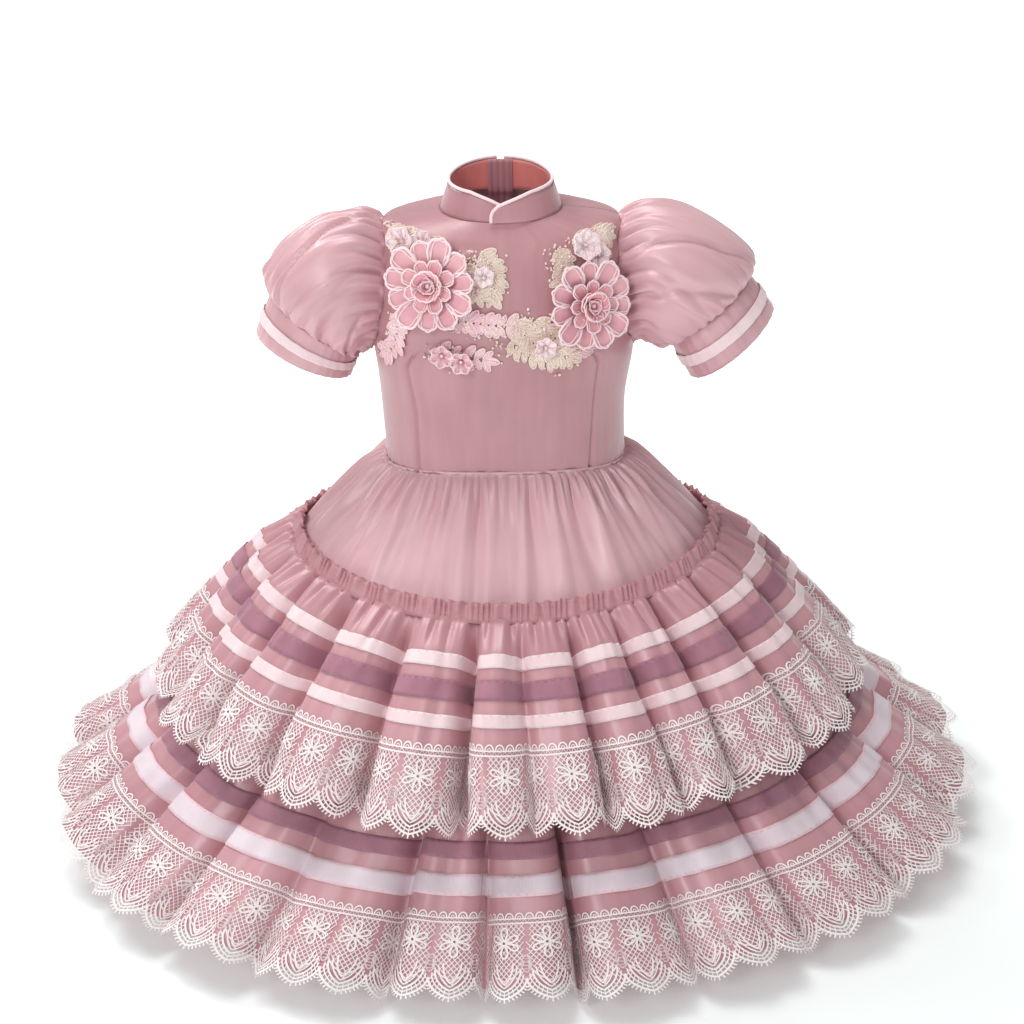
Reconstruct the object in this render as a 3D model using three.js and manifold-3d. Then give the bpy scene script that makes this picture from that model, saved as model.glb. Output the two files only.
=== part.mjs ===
// An escaramuza dress for a girl of three or four, filled out as if it were worn: a fitted bodice with a
// stand collar, puff sleeves on banded cuffs, a gathered yoke skirt, and two flounces with ribbons and lace.
// Millimetres. +X is the wearer's left, -Y the front, +Z up. The origin lies midway between the shoulder
// seams, where the wearer's shoulders carry the dress. Every piece of cloth is a closed wall with both faces.
import * as THREE from "three";
import { mergeVertices } from "three/addons/utils/BufferGeometryUtils.js";
import Module from "manifold-3d";

const wasm = await Module();
wasm.setup();

// Driving dimensions
const CLOTH = 1.2; // satin and its facing, as one wall
const LACE = 1.0;
const RIBBON = 1.0;
const COLLAR_WALL = 1.8;
const SEAM = 0.35; // gap between pieces that are sewn together
const ON_TOP = 0.5; // gap under a piece that lies on a panel
const ROUND = 2.4; // exponent of the body's rounded section: 2 is an ellipse, more is squarer
const ZIP_GAP = 3.2; // from the centre back to each folded edge beside the zip's teeth

const ZIP = { tape: 20, teeth: 4.6, under: 2.3, proud: 0.3 }; // widths, and depths under the outer face
const SLIDER = {
  height: 31, wide: 8, tall: 9.5, plate: 1.2,
  arch: { wide: 2, tall: 7.2, leg: 1, rise: 2.6 },
};
const PULL = { pivot: 1.4, bar: 0.6, wide: 5.2, arm: 1.1, eye: 5.5, long: 14 };

const COLOURS = {
  rose: 0xd08f9b, pale: 0xf4d3d6, mauve: 0x9a6a80, white: 0xf3e1e8, lace: 0xf5e8e4,
  petal: 0xe8a0ac, gold: 0xddcba6, metal: 0xb9b4b0,
};

// The body of the bodice, from the waist up to the neck. wide and deep are half sizes, front, side and back
// are heights, and open is how much of the armhole's width is cut away at that height.
const TORSO = [
  { wide: 101, deep: 67, front: -197, side: -203, back: -197, open: 0 },
  { wide: 102, deep: 69, front: -150, side: -152, back: -150, open: 0 },
  { wide: 107, deep: 72, front: -106, side: -108, back: -106, open: 0 },
  { wide: 107, deep: 73, front: -86, side: -90, back: -86, open: 0.7 },
  { wide: 105, deep: 71, front: -60, side: -61, back: -58, open: 0.97 },
  { wide: 101, deep: 66, front: -34, side: -31, back: -28, open: 0.95 },
  { wide: 97, deep: 60, front: -15, side: -8, back: -6, open: 0.68 },
  { wide: 94, deep: 56, front: -8, side: 2, back: 2, open: 0 },
  { wide: 74, deep: 50, front: 0, side: 7, back: 9, open: 0 },
  { wide: 49, deep: 44, front: 8, side: 10, back: 13, open: 0 },
];
const ARMHOLE_ROWS = { bottom: 2, top: 7 };
const ARMHOLE = 27; // degrees that the armhole takes from each side at its widest
const BODICE_COLUMNS = 12;

// The stand collar, whose top edge dips to a notch at the front
const COLLAR = { base: { wide: 49, deep: 44 }, top: { wide: 42, deep: 41 }, front: 20, side: 21, back: 25 };
const COLLAR_LAP = 5; // degrees by which each half passes the centre front
const COLLAR_CURVE = 34; // degrees over which its front edge rises to full height, steeply at first
const COLLAR_OVER = 3.6; // how far the upper half stands off the lower one where they lap
const COLLAR_BACK_END = 177.6; // degrees, at the zip
const COLLAR_COLUMNS = [0, 0.03, 0.08, 0.14, 0.22, 0.34, 0.5, 0.68, 0.84, 1]; // shares of each half's length
const PIPING = 1.25; // radius

// Each sleeve's sections below the armhole: upper and lower edge (out, up), half depth and size of gathers.
// The arms don't hang quite alike, so each sleeve has its own table. cuff is the same for the cuff's two ends.
const SLEEVES = {
  right: {
    side: -1,
    puff: [
      { topOut: 116, topUp: 9, lowOut: 112, lowUp: -107, deep: 50, gather: 3.4 },
      { topOut: 146, topUp: 4, lowOut: 115, lowUp: -111, deep: 58, gather: 2.8 },
      { topOut: 177, topUp: -17, lowOut: 118, lowUp: -113, deep: 58, gather: 2.6 },
      { topOut: 194, topUp: -41, lowOut: 119, lowUp: -112, deep: 50, gather: 2.8 },
      { topOut: 189, topUp: -57, lowOut: 121, lowUp: -107, deep: 41, gather: 1.2 },
    ],
    cuff: [
      { topOut: 189.2, topUp: -57.5, lowOut: 121.2, lowUp: -107.5, deep: 41 },
      { topOut: 204, topUp: -91, lowOut: 127, lowUp: -130, deep: 43 },
    ],
  },
  left: {
    side: 1,
    puff: [
      { topOut: 118, topUp: 11, lowOut: 113, lowUp: -101, deep: 50, gather: 3.4 },
      { topOut: 150, topUp: 6, lowOut: 119, lowUp: -106, deep: 58, gather: 2.8 },
      { topOut: 184, topUp: -14, lowOut: 126, lowUp: -108, deep: 58, gather: 2.6 },
      { topOut: 204, topUp: -34, lowOut: 131, lowUp: -107, deep: 50, gather: 2.8 },
      { topOut: 201, topUp: -48, lowOut: 136, lowUp: -101, deep: 41, gather: 1.2 },
    ],
    cuff: [
      { topOut: 201.3, topUp: -48.4, lowOut: 136.3, lowUp: -101.4, deep: 41 },
      { topOut: 223, topUp: -77, lowOut: 156, lowUp: -136, deep: 43 },
    ],
  },
};
const PUFF_GATHERS = 18;
const CUFF_SIDES = 18;
const CUFF_RIBBON = { from: 0.42, to: 0.68 }; // shares of the cuff's length

// The skirt's tiers. top and tips give [radius, height] at the side and at the front and back. flare is how
// the radius grows on the way down: under 1 it swells out early, over 1 it flares late. Each ring is at a
// share of the way down, power makes its outline squarer than an ellipse, and fold is how far its folds stand
// out and in, as a share of its radius: an equal share keeps the cloth between two folds flat.
const YOKE = {
  top: { side: [101, -203.6], front: [67, -197.6] },
  tips: { side: [180, -273], front: [157, -283] },
  flare: 0.92,
  rings: [
    { at: 0, fold: 0.003, power: ROUND, zip: ZIP_GAP },
    { at: 0.2, fold: 0.02, power: 2.2, zip: ZIP_GAP },
    { at: 0.6, fold: 0.016, power: 2.1, zip: 0 },
    { at: 1, fold: 0.008, power: 2, zip: 0 },
  ],
};
const UPPER = {
  top: { side: [183.3, -271.3], front: [160.5, -281.4] },
  tips: { side: [311, -410], front: [276, -413] },
  flare: 0.85,
  rings: [
    { at: 0, fold: 0.007, power: 2 },
    { at: 0.15, fold: 0.042, power: 2 },
    { at: 0.555, fold: 0.042, power: 2 },
    { at: 0.923, fold: 0.042, power: 2 },
  ],
};
const LOWER = {
  top: { side: [180.5, -277], front: [157.5, -287] },
  tips: { side: [417, -508], front: [334, -522] },
  flare: 1.55,
  rings: [
    { at: 0, fold: 0.005, power: 2 },
    { at: 0.25, fold: 0.018, power: 2.05 },
    { at: 0.6, fold: 0.03, power: 2.15 },
    { at: 0.8, fold: 0.03, power: 2.15 },
    { at: 0.965, fold: 0.03, power: 2.15 },
  ],
};
const BACK = { from: -205, to: -285, deep: 0.88, drop: 8 }; // the skirt's back is flatter and hangs lower
const YOKE_GATHERS = 40;
const HEADING = { waves: 48, tall: 12, fold: 2.4, stand: 3 };
const LACE_DROP = 0.21; // how far the scallops hang past the cloth, as a share of the lace on the cloth
const SCALLOP = 0.24; // depth of the notch between two scallops, as the same share
// A loop of its top row: its size, how far down it is and the fold column it is in.
const LACE_LOOP = { wide: 6, tall: 5, down: 6, column: 1 };

// Ribbons: the ring below which each lies, and where between it and the next ring it starts and ends
const RIBBONS = [
  { name: "upper_ribbon_pale_high", on: "upper", ring: 1, from: 0.02, to: 0.17, colour: "pale" },
  { name: "upper_ribbon_mauve", on: "upper", ring: 1, from: 0.3, to: 0.53, colour: "mauve" },
  { name: "upper_ribbon_pale_low", on: "upper", ring: 1, from: 0.69, to: 0.84, colour: "pale" },
  { name: "lower_ribbon_mauve", on: "lower", ring: 2, from: 0.18, to: 0.4, colour: "mauve" },
  { name: "lower_ribbon_white", on: "lower", ring: 2, from: 0.58, to: 0.84, colour: "white" },
];

// Folds of the two flounces, one row for each: the angle of the groove before it (0 is the front, 90 the
// wearer's left), how high the fold stands, how deep the groove is, and how far its crest leans.
const UPPER_FOLDS = [
  { at: -90, high: 0.9, groove: 0.9, lean: 0 },
  { at: -73, high: 1.1, groove: 1.0, lean: 0.1 },
  { at: -57, high: 0.9, groove: 0.9, lean: -0.1 },
  { at: -42, high: 1.0, groove: 1.2, lean: 0.1 },
  { at: -24, high: 1.0, groove: 1.4, lean: 0 },
  { at: -7, high: 1.2, groove: 1.8, lean: -0.1 },
  { at: 3, high: 0.6, groove: 0.5, lean: 0.1 },
  { at: 14.5, high: 1.1, groove: 1.3, lean: 0 },
  { at: 26, high: 0.8, groove: 1.0, lean: -0.1 },
  { at: 38, high: 1.1, groove: 1.2, lean: 0.1 },
  { at: 53, high: 1.2, groove: 1.5, lean: 0 },
  { at: 71, high: 0.9, groove: 1.1, lean: 0 },
];
const LOWER_FOLDS = [
  { at: -90, high: 0.8, groove: 0.8, lean: 0 },
  { at: -74, high: 1.0, groove: 0.9, lean: -0.1 },
  { at: -58, high: 0.8, groove: 0.8, lean: 0.1 },
  { at: -43, high: 1.0, groove: 1.0, lean: 0 },
  { at: -29, high: 0.8, groove: 0.6, lean: 0.1 },
  { at: -12, high: 0.5, groove: 0.9, lean: 0.2 },
  { at: -3, high: 1.3, groove: 0.9, lean: 0 },
  { at: 6, high: 1.0, groove: 1.7, lean: -0.2 },
  { at: 19, high: 0.9, groove: 0.8, lean: -0.1 },
  { at: 35, high: 1.0, groove: 0.9, lean: 0 },
  { at: 52, high: 1.1, groove: 1.0, lean: 0.1 },
  { at: 71, high: 0.9, groove: 1.0, lean: 0 },
];
const BACK_FOLDS = 10;
const CREST = 3; // exponent of a fold's roundness: broad crests, narrow grooves
const FOLD_COLUMNS = [0, 0.2, 0.5, 0.8];

// The two raised flowers and the flat sprays sewn on the chest. share and row place each on the bodice.
const FLOWERS = [
  { name: "flower_right", share: -0.44, row: 4.85, size: 38, petals: 10, turn: 10 },
  { name: "flower_left", share: 0.56, row: 4.2, size: 37, petals: 10, turn: 25 },
];
const SPRAYS = [
  { name: "spray_right_shoulder", share: -0.6, row: 6.5, wide: 15, tall: 11, lobes: 5, turn: 0, lift: 1.1 },
  { name: "spray_left_shoulder", share: 0.54, row: 6.3, wide: 15, tall: 13, lobes: 5, turn: 0, lift: 1.1 },
  { name: "spray_right", share: -0.07, row: 5.0, wide: 9, tall: 24, lobes: 5, turn: 10, lift: 0.6 },
  { name: "spray_left", share: 0.17, row: 3.2, wide: 12, tall: 24, lobes: 5, turn: -20, lift: 0.6 },
  { name: "spray_centre", share: -0.2, row: 2.6, wide: 22, tall: 10, lobes: 6, turn: 0, lift: 0.6 },
];

const rad = THREE.MathUtils.degToRad;
const lerp = THREE.MathUtils.lerp;
const point = (x, y, z) => new THREE.Vector3(x, y, z);
const between = (a, b, t) => a.clone().lerp(b, t);

// Point on a rounded section: angle 0 is the front, 90 the wearer's left.
function section(wide, deep, angle, power = 2) {
  const s = Math.sin(rad(angle));
  const c = Math.cos(rad(angle));
  const squared = (v) => Math.sign(v) * Math.abs(v) ** (2 / power);
  return [wide * squared(s), -deep * squared(c)];
}

// A ring's own height blends from the front or back value to the side value.
const heightAt = (ends, side, angle) => lerp(ends, side, Math.sin(rad(angle)) ** 2);

// Normal at each point of a grid of points, lengthened at corners so that a moved copy stays parallel.
function normals(grid, closed) {
  const rows = grid.length;
  const columns = grid[0].length;
  const at = (j, i) => grid[j][closed ? (i + columns) % columns : i];
  const faceAt = (j, i) => {
    const inside = j >= 0 && j < rows - 1 && (closed || (i >= 0 && i < columns - 1));
    if (!inside) return null;
    const across = at(j, i + 1).clone().sub(at(j, i)).add(at(j + 1, i + 1).clone().sub(at(j + 1, i)));
    const up = at(j + 1, i).clone().sub(at(j, i)).add(at(j + 1, i + 1).clone().sub(at(j, i + 1)));
    return across.cross(up).normalize();
  };
  return grid.map((row, j) =>
    row.map((_, i) => {
      const faces = [faceAt(j, i), faceAt(j - 1, i), faceAt(j, i - 1), faceAt(j - 1, i - 1)].filter(Boolean);
      const mean = faces.reduce((sum, face) => sum.add(face), point(0, 0, 0)).normalize();
      const spread = faces.reduce((sum, face) => sum + face.dot(mean), 0) / faces.length;
      return mean.divideScalar(Math.max(0.6, spread));
    }),
  );
}

const moved = (grid, directions, distance) =>
  grid.map((row, j) => row.map((p, i) => p.clone().addScaledVector(directions[j][i], distance)));

// A closed wall between two matching grids of points, the first on the outside. closed joins the last
// column to the first, as round a tube.
function wallBetween(outer, inner, closed) {
  const rows = outer.length;
  const columns = outer[0].length;
  const positions = [...outer.flat(), ...inner.flat()].flatMap((p) => [p.x, p.y, p.z]);
  const out = (j, i) => j * columns + (i % columns);
  const within = (j, i) => rows * columns + out(j, i);
  const faces = [];
  const quad = (a, b, c, d) => faces.push(a, b, c, a, c, d);
  const across = closed ? columns : columns - 1;
  for (let i = 0; i < across; i += 1) {
    for (let j = 0; j < rows - 1; j += 1) {
      quad(out(j, i), out(j, i + 1), out(j + 1, i + 1), out(j + 1, i));
      quad(within(j, i), within(j + 1, i), within(j + 1, i + 1), within(j, i + 1));
    }
    quad(within(0, i), within(0, i + 1), out(0, i + 1), out(0, i));
    quad(out(rows - 1, i), out(rows - 1, i + 1), within(rows - 1, i + 1), within(rows - 1, i));
  }
  for (let j = 0; j < rows - 1 && !closed; j += 1) {
    const last = columns - 1;
    quad(within(j, 0), out(j, 0), out(j + 1, 0), within(j + 1, 0));
    quad(out(j, last), within(j, last), within(j + 1, last), out(j + 1, last));
  }
  const geometry = new THREE.BufferGeometry();
  geometry.setAttribute("position", new THREE.Float32BufferAttribute(positions, 3));
  geometry.setIndex(faces);
  return geometry;
}

// A cloth wall under the given outer points. At a side seam the cloth faces straight out to its side.
function wall(grid, thick, closed) {
  const out = normals(grid, closed);
  for (const [j, row] of grid.entries()) {
    for (const i of closed ? [] : [0, row.length - 1]) {
      if (Math.abs(row[i].y) < 1) out[j][i].setY(0).normalize();
    }
  }
  return wallBetween(grid, moved(grid, out, -thick), closed);
}

// A band that lies on a panel: the panel's own points, moved out.
function bandOn(grid, thick, closed, gap = ON_TOP) {
  const up = normals(grid, closed);
  return wallBetween(moved(grid, up, gap + thick), moved(grid, up, gap), closed);
}

function solidOf(geometry) {
  const plain = geometry.clone();
  plain.deleteAttribute("normal");
  plain.deleteAttribute("uv");
  const merged = mergeVertices(plain, 1e-4);
  const vertProperties = Float32Array.from(merged.attributes.position.array);
  const triVerts = Uint32Array.from(merged.index.array);
  return new wasm.Manifold(new wasm.Mesh({ numProp: 3, vertProperties, triVerts }));
}

function geometryOf(solid) {
  const mesh = solid.getMesh();
  const geometry = new THREE.BufferGeometry();
  geometry.setAttribute("position", new THREE.Float32BufferAttribute(mesh.vertProperties, 3));
  geometry.setIndex(new THREE.BufferAttribute(mesh.triVerts, 1));
  return geometry;
}

const box = (wide, deep, tall, x, y, z) => new THREE.BoxGeometry(wide, deep, tall).translate(x, y, z);
const joined = (...pieces) => geometryOf(pieces.map(solidOf).reduce((whole, piece) => whole.add(piece)));

const dress = new THREE.Group();
function add(name, geometry, colour, metalness = 0) {
  const material = new THREE.MeshStandardMaterial({ color: COLOURS[colour], roughness: 0.6, metalness });
  const mesh = new THREE.Mesh(geometry, material);
  mesh.name = name;
  dress.add(mesh);
  return mesh;
}

// Point of the bodice at a row of its table and a share of the way from the centre front (0) or centre
// back (0) to its side edge (1 or -1).
function bodicePoint(row, share, isBack) {
  const edge = 90 - ARMHOLE * row.open;
  const plain = edge * share;
  const angle = isBack ? 180 - plain : plain;
  const [x, y] = section(row.wide, row.deep, angle, ROUND);
  const z = heightAt(isBack ? row.back : row.front, row.side, angle);
  return point(x, isBack ? Math.max(y, SEAM / 2) : Math.min(y, -SEAM / 2), z);
}

const shares = (from, to, count) => Array.from({ length: count + 1 }, (_, i) => lerp(from, to, i / count));

const backGap = (row) => (ZIP_GAP / row.wide) ** (ROUND / 2) * (180 / Math.PI) / (90 - ARMHOLE * row.open);

function bodiceFront() {
  return TORSO.map((row) => shares(-1, 1, BODICE_COLUMNS).map((share) => bodicePoint(row, share, false)));
}

function bodiceBack(side) {
  return TORSO.map((row) => {
    const gap = backGap(row);
    const line = shares(1, gap, BODICE_COLUMNS / 2).map((share) => bodicePoint(row, share * side, true));
    return side > 0 ? line : line.reverse();
  });
}

// The collar's edge heights at an angle, and its half's wall, from the front lap to the zip.
function collarHalf(side) {
  const over = side > 0;
  const lap = over ? -COLLAR_LAP : -COLLAR_LAP * 0.6;
  const foot = [];
  const head = [];
  for (const share of COLLAR_COLUMNS) {
    const angle = lerp(lap, COLLAR_BACK_END, share);
    const cosine = Math.cos(rad(angle));
    const tall = lerp(COLLAR.side, cosine > 0 ? COLLAR.front : COLLAR.back, cosine ** 2);
    const rise = Math.min(1, Math.max(0.02, (angle - lap) / COLLAR_CURVE)) ** 0.25;
    const stand = over ? COLLAR_OVER * Math.max(0, 1 - Math.max(0, angle - COLLAR_LAP) / 40) : 0;
    const neck = TORSO[TORSO.length - 1];
    const z = heightAt(cosine > 0 ? neck.front : neck.back, neck.side, angle) + SEAM;
    const [x0, y0] = section(COLLAR.base.wide + stand, COLLAR.base.deep + stand, angle, ROUND);
    const lean = lerp(0, 1, rise);
    const wide = lerp(COLLAR.base.wide, COLLAR.top.wide, lean) + stand;
    const deep = lerp(COLLAR.base.deep, COLLAR.top.deep, lean) + stand;
    const [x1, y1] = section(wide, deep, angle, ROUND);
    foot.push(point(x0 * side, y0, z));
    head.push(point(x1 * side, y1, z + tall * rise));
  }
  const grid = side > 0 ? [foot, head] : [foot.reverse(), head.reverse()];
  return { grid, edge: grid[1] };
}

// Piping: a round cord along an edge, just clear of the wall under it.
function piping(edge) {
  const above = edge.map((p) => point(p.x * 0.985, p.y * 0.985, p.z + PIPING + SEAM));
  const corner = (angle) => {
    const unit = new THREE.Vector2(Math.cos(rad(angle)), Math.sin(rad(angle)));
    return unit.multiplyScalar(PIPING);
  };
  const ring = new THREE.Shape(shares(0, 300, 5).map(corner));
  return new THREE.ExtrudeGeometry(ring, { steps: 15, extrudePath: new THREE.CatmullRomCurve3(above) });
}

// The armhole's edge on one side, from its top round by the front, as a closed curve just clear of the bodice.
function armhole(side) {
  const { bottom, top } = ARMHOLE_ROWS;
  const rows = TORSO.slice(bottom + 1, top);
  const edge = (row, isBack) => bodicePoint(row, side, isBack);
  const points = [
    edge(TORSO[top], false), ...rows.map((row) => edge(row, false)).reverse(),
    edge(TORSO[bottom], false), ...rows.map((row) => edge(row, true)),
  ];
  for (const p of points) p.x += side * SEAM * 2;
  return new THREE.CatmullRomCurve3(points, true);
}

// A section of a sleeve or cuff: count points from its upper edge round by the front, waved by its gathers.
function sleeveRing(row, side, count, gather = 0) {
  const top = point(row.topOut, 0, row.topUp);
  const middle = between(top, point(row.lowOut, 0, row.lowUp), 0.5);
  const half = top.clone().sub(middle);
  return Array.from({ length: count }, (_, i) => {
    const turn = rad((360 * i) / count);
    const swell = 1 + ((i % 2 ? 1 : -1) * gather) / half.length() / 2;
    const p = middle.clone().addScaledVector(half, Math.cos(turn) * swell);
    return point(p.x * side, -row.deep * Math.sin(turn) * swell, p.z);
  });
}

// A tube's rings run round so that its faces look out: the other way round on the wearer's left.
const facing = (grid, side) => (side > 0 ? grid.map((row) => [...row].reverse()) : grid);

function puff({ side, puff: rows }) {
  const count = PUFF_GATHERS * 2;
  const first = armhole(side).getSpacedPoints(count).slice(0, count);
  return facing([first, ...rows.map((row) => sleeveRing(row, side, count, row.gather))], side);
}

// The cuff between two shares of its length.
function cuffRings({ side, cuff }, shares) {
  const mixed = (t) =>
    Object.fromEntries(Object.keys(cuff[0]).map((key) => [key, lerp(cuff[0][key], cuff[1][key], t)]));
  return facing(shares.map((t) => sleeveRing(mixed(t), side, CUFF_SIDES)), side);
}

// Height of the folds at an angle: broad rounded crests between narrow grooves.
const hiddenFolds = (front) => [
  ...front,
  ...shares(0, 1, BACK_FOLDS).slice(0, -1).map((t, i) => ({
    at: 90 + 180 * t + (i ? 2.6 * Math.sin(3.1 * i) : 0),
    high: 0.95 + 0.2 * Math.sin(2.2 * i + 1),
    groove: 1 + 0.3 * Math.sin(1.7 * i),
    lean: 0.1 * Math.sin(2.9 * i),
  })),
];
const foldStart = (folds, k) => (k < folds.length ? folds[k].at : folds[0].at + 360);
const foldAngles = (folds) =>
  folds.flatMap((fold, k) =>
    FOLD_COLUMNS.map((u) => {
      const crest = 0.5 + fold.lean;
      const warped = u < 0.5 ? (u / 0.5) * crest : crest + ((u - 0.5) / 0.5) * (1 - crest);
      const next = folds[(k + 1) % folds.length];
      const up = 1 - Math.abs(2 * u - 1) ** CREST;
      const groove = lerp(fold.groove, next.groove, u);
      const height = fold.high * up - groove * (1 - up);
      return { angle: lerp(fold.at, foldStart(folds, k + 1), warped), height };
    }),
  );
const gatherAngles = (count) =>
  Array.from({ length: count * 2 }, (_, i) => ({
    angle: -90 + (180 * i) / count + (i % (count / 2) ? (35 / count) * Math.sin(1.9 * i) : 0),
    height: (i % 2 ? 1 : -1) * (0.8 + 0.2 * Math.sin(2.3 * i)),
  }));

// Point of a tier with no folds: at is the share of the way down.
function tierPoint({ top, tips, flare }, at, power, angle) {
  const mix = (a, b) => [lerp(a[0], b[0], at ** flare), lerp(a[1], b[1], at)];
  const side = mix(top.side, tips.side);
  const front = mix(top.front, tips.front);
  const [x, y] = section(side[0], front[0], angle, power);
  const z = heightAt(front[1], side[1], angle);
  if (y <= 0) return point(x, y, z);
  const low = THREE.MathUtils.clamp((z - BACK.from) / (BACK.to - BACK.from), 0, 1);
  return point(x, y * lerp(1, BACK.deep, low), z - (BACK.drop * low * y) / front[0]);
}

// Rings of a tier, its folds standing square to its own slope.
function tierRings(tier, stations) {
  return tier.rings.map(({ at, fold, power }) => {
    const radius = lerp(tier.top.side[0], tier.tips.side[0], at ** tier.flare);
    return stations.map(({ angle, height }) => {
      const above = tierPoint(tier, Math.max(0, at - 0.03), power, angle);
      const down = tierPoint(tier, at + 0.03, power, angle).sub(above);
      const outward = point(Math.sin(rad(angle)), -Math.cos(rad(angle)), 0);
      const square = outward.clone().multiplyScalar(-down.z);
      square.z = down.dot(outward);
      return tierPoint(tier, at, power, angle).addScaledVector(square.normalize(), fold * radius * height);
    });
  });
}

// One panel of a tier, from seam to seam, lowest ring first. The side seams lie on y = 0, the back seam on
// x = 0, or beside the zip.
function panel(tier, stations, from, to) {
  const kept = stations
    .map((s) => ({ ...s, angle: s.angle < from - 0.5 ? s.angle + 360 : s.angle }))
    .filter((s) => s.angle > from - 0.5 && s.angle < to + 0.5)
    .sort((a, b) => a.angle - b.angle);
  const rings = tierRings(tier, kept);
  rings.forEach((ring, j) => {
    const last = ring.length - 1;
    for (const [end, seam] of [[0, from], [last, to]]) {
      const inside = ring[end ? last - 1 : 1];
      if (seam === 180) ring[end].x = Math.sign(inside.x) * Math.max(tier.rings[j].zip ?? 0, SEAM / 2);
      else ring[end].y = (Math.sign(inside.y) * SEAM) / 2;
    }
  });
  return rings.reverse();
}

// The part of a tier between two of its rings, as a strip.
const strip = (rings, ring, from, to) =>
  [to, from].map((t) => rings[ring].map((p, i) => between(p, rings[ring + 1][i], t)));

// Lace on a flounce's lowest stretch. It hangs past the cloth in scallops, one between each two columns.
function lace(rings) {
  const top = rings[rings.length - 2];
  const hem = rings[rings.length - 1];
  const [foot, head] = [1 + LACE_DROP - SCALLOP, 0.02].map((t) => top.map((p, i) => between(p, hem[i], t)));
  const up = normals([foot, head], true);
  const faces = [ON_TOP, ON_TOP + LACE].map((d) => moved([foot, head], up, d));
  const count = top.length;
  const tips = [0, 1].map((k) =>
    top.map((_, i) => {
      const next = (i + 1) % count;
      const low = between(faces[k][0][i], faces[k][0][next], 0.5);
      const high = between(faces[k][1][i], faces[k][1][next], 0.5);
      return between(high, low, (1 + LACE_DROP) / (1 + LACE_DROP - SCALLOP));
    }),
  );
  const corners = [0, 1].flatMap((k) => [...faces[k][0], ...faces[k][1], ...tips[k]]);
  const positions = corners.flatMap((p) => [p.x, p.y, p.z]);
  const at = (face, row, i) => (face * 3 + row) * count + (i % count);
  const index = [];
  for (let i = 0; i < count; i += 1) {
    const [a, b, c, d, t] = [at(1, 0, i), at(1, 0, i + 1), at(1, 1, i + 1), at(1, 1, i), at(1, 2, i)];
    const [e, f, g, h, s] = [at(0, 0, i), at(0, 0, i + 1), at(0, 1, i + 1), at(0, 1, i), at(0, 2, i)];
    index.push(a, b, c, a, c, d, a, t, b, e, g, f, e, h, g, e, f, s);
    index.push(d, c, g, d, g, h, e, s, t, e, t, a, s, f, b, s, b, t);
  }
  const geometry = new THREE.BufferGeometry();
  geometry.setAttribute("position", new THREE.Float32BufferAttribute(positions, 3));
  geometry.setIndex(index);
  return geometry;
}

// Cutters for the loops along the lace's top edge, one on every second fold.
function loopCutters(rings) {
  const top = rings[rings.length - 2];
  const hem = rings[rings.length - 1];
  const cutters = [];
  for (let i = LACE_LOOP.column; i < top.length; i += 2 * FOLD_COLUMNS.length) {
    const across = top[i + 1].clone().sub(top[i]).normalize();
    const up = top[i].clone().sub(hem[i]).normalize();
    const out = across.clone().cross(up).normalize();
    const middle = between(top[i], top[i + 1], 0.5).addScaledVector(up, -LACE_LOOP.down);
    const place = new THREE.Matrix4().makeBasis(across, out.clone().cross(across), out).setPosition(middle);
    cutters.push(solidOf(new THREE.BoxGeometry(LACE_LOOP.wide, LACE_LOOP.tall, 6).applyMatrix4(place)));
  }
  return cutters;
}

// The flounce's gathered heading: a narrow frill that stands up over the yoke from the flounce's top edge.
function heading() {
  const stations = gatherAngles(HEADING.waves);
  const lines = [SEAM * 3, HEADING.tall].map((rise, j) =>
    stations.map(({ angle, height }) => {
      const foot = tierPoint(UPPER, 0, 2, angle);
      const up = tierPoint(YOKE, 0.8, 2, angle).sub(tierPoint(YOKE, 0.95, 2, angle)).normalize();
      const outward = point(Math.sin(rad(angle)), -Math.cos(rad(angle)), 0);
      const square = outward.multiplyScalar(up.z).setZ(-up.dot(outward));
      const stand = (j ? HEADING.stand : 0.4) + height * HEADING.fold * (j ? 1 : 0.3);
      return foot.addScaledVector(up, rise).addScaledVector(square.normalize(), stand);
    }),
  );
  return wall(lines, CLOTH, true);
}

// Place on the chest: a share of the way from the centre front to the side edge, and a row of the bodice's
// table, both as fractions. It lies on the bodice's own wall.
function chest(share, row) {
  const low = Math.min(TORSO.length - 2, Math.max(0, Math.floor(row)));
  const t = row - low;
  return between(bodicePoint(TORSO[low], share, false), bodicePoint(TORSO[low + 1], share, false), t);
}
function chestOut(share, row) {
  const across = chest(share + 0.04, row).sub(chest(share - 0.04, row));
  const up = chest(share, row + 0.2).sub(chest(share, row - 0.2));
  return across.cross(up).normalize();
}
// Millimetres on the chest for one step of share and one of row, at a place.
const chestScale = (share, row) => ({
  share: chest(share + 0.04, row).distanceTo(chest(share - 0.04, row)) / 0.08,
  row: chest(share, row + 0.2).distanceTo(chest(share, row - 0.2)) / 0.4,
});

// One whorl of petals on a flower: a scalloped dish that rises from its middle.
function whorl({ share: at, row, petals, turn }, size, rest, lift) {
  const middle = chest(at, row);
  const out = chestOut(at, row);
  const right = point(1, 0, 0).addScaledVector(out, -out.x).normalize();
  const above = out.clone().cross(right);
  const columns = petals * 3;
  const rows = [1, 0.72, 0.18].map((share) =>
    Array.from({ length: columns }, (_, i) => {
      const angle = rad(turn + (360 * i) / columns);
      const notch = i % 3 ? 1 : lerp(1, 0.72, share);
      const radius = size * share * notch;
      const rise = rest + lift * share ** 1.5 * (i % 3 ? 1 : 0.55);
      return middle.clone().addScaledVector(right, radius * Math.cos(angle))
        .addScaledVector(above, radius * Math.sin(angle)).addScaledVector(out, rise);
    }),
  );
  return wall(rows, 1.4, true);
}

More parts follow.
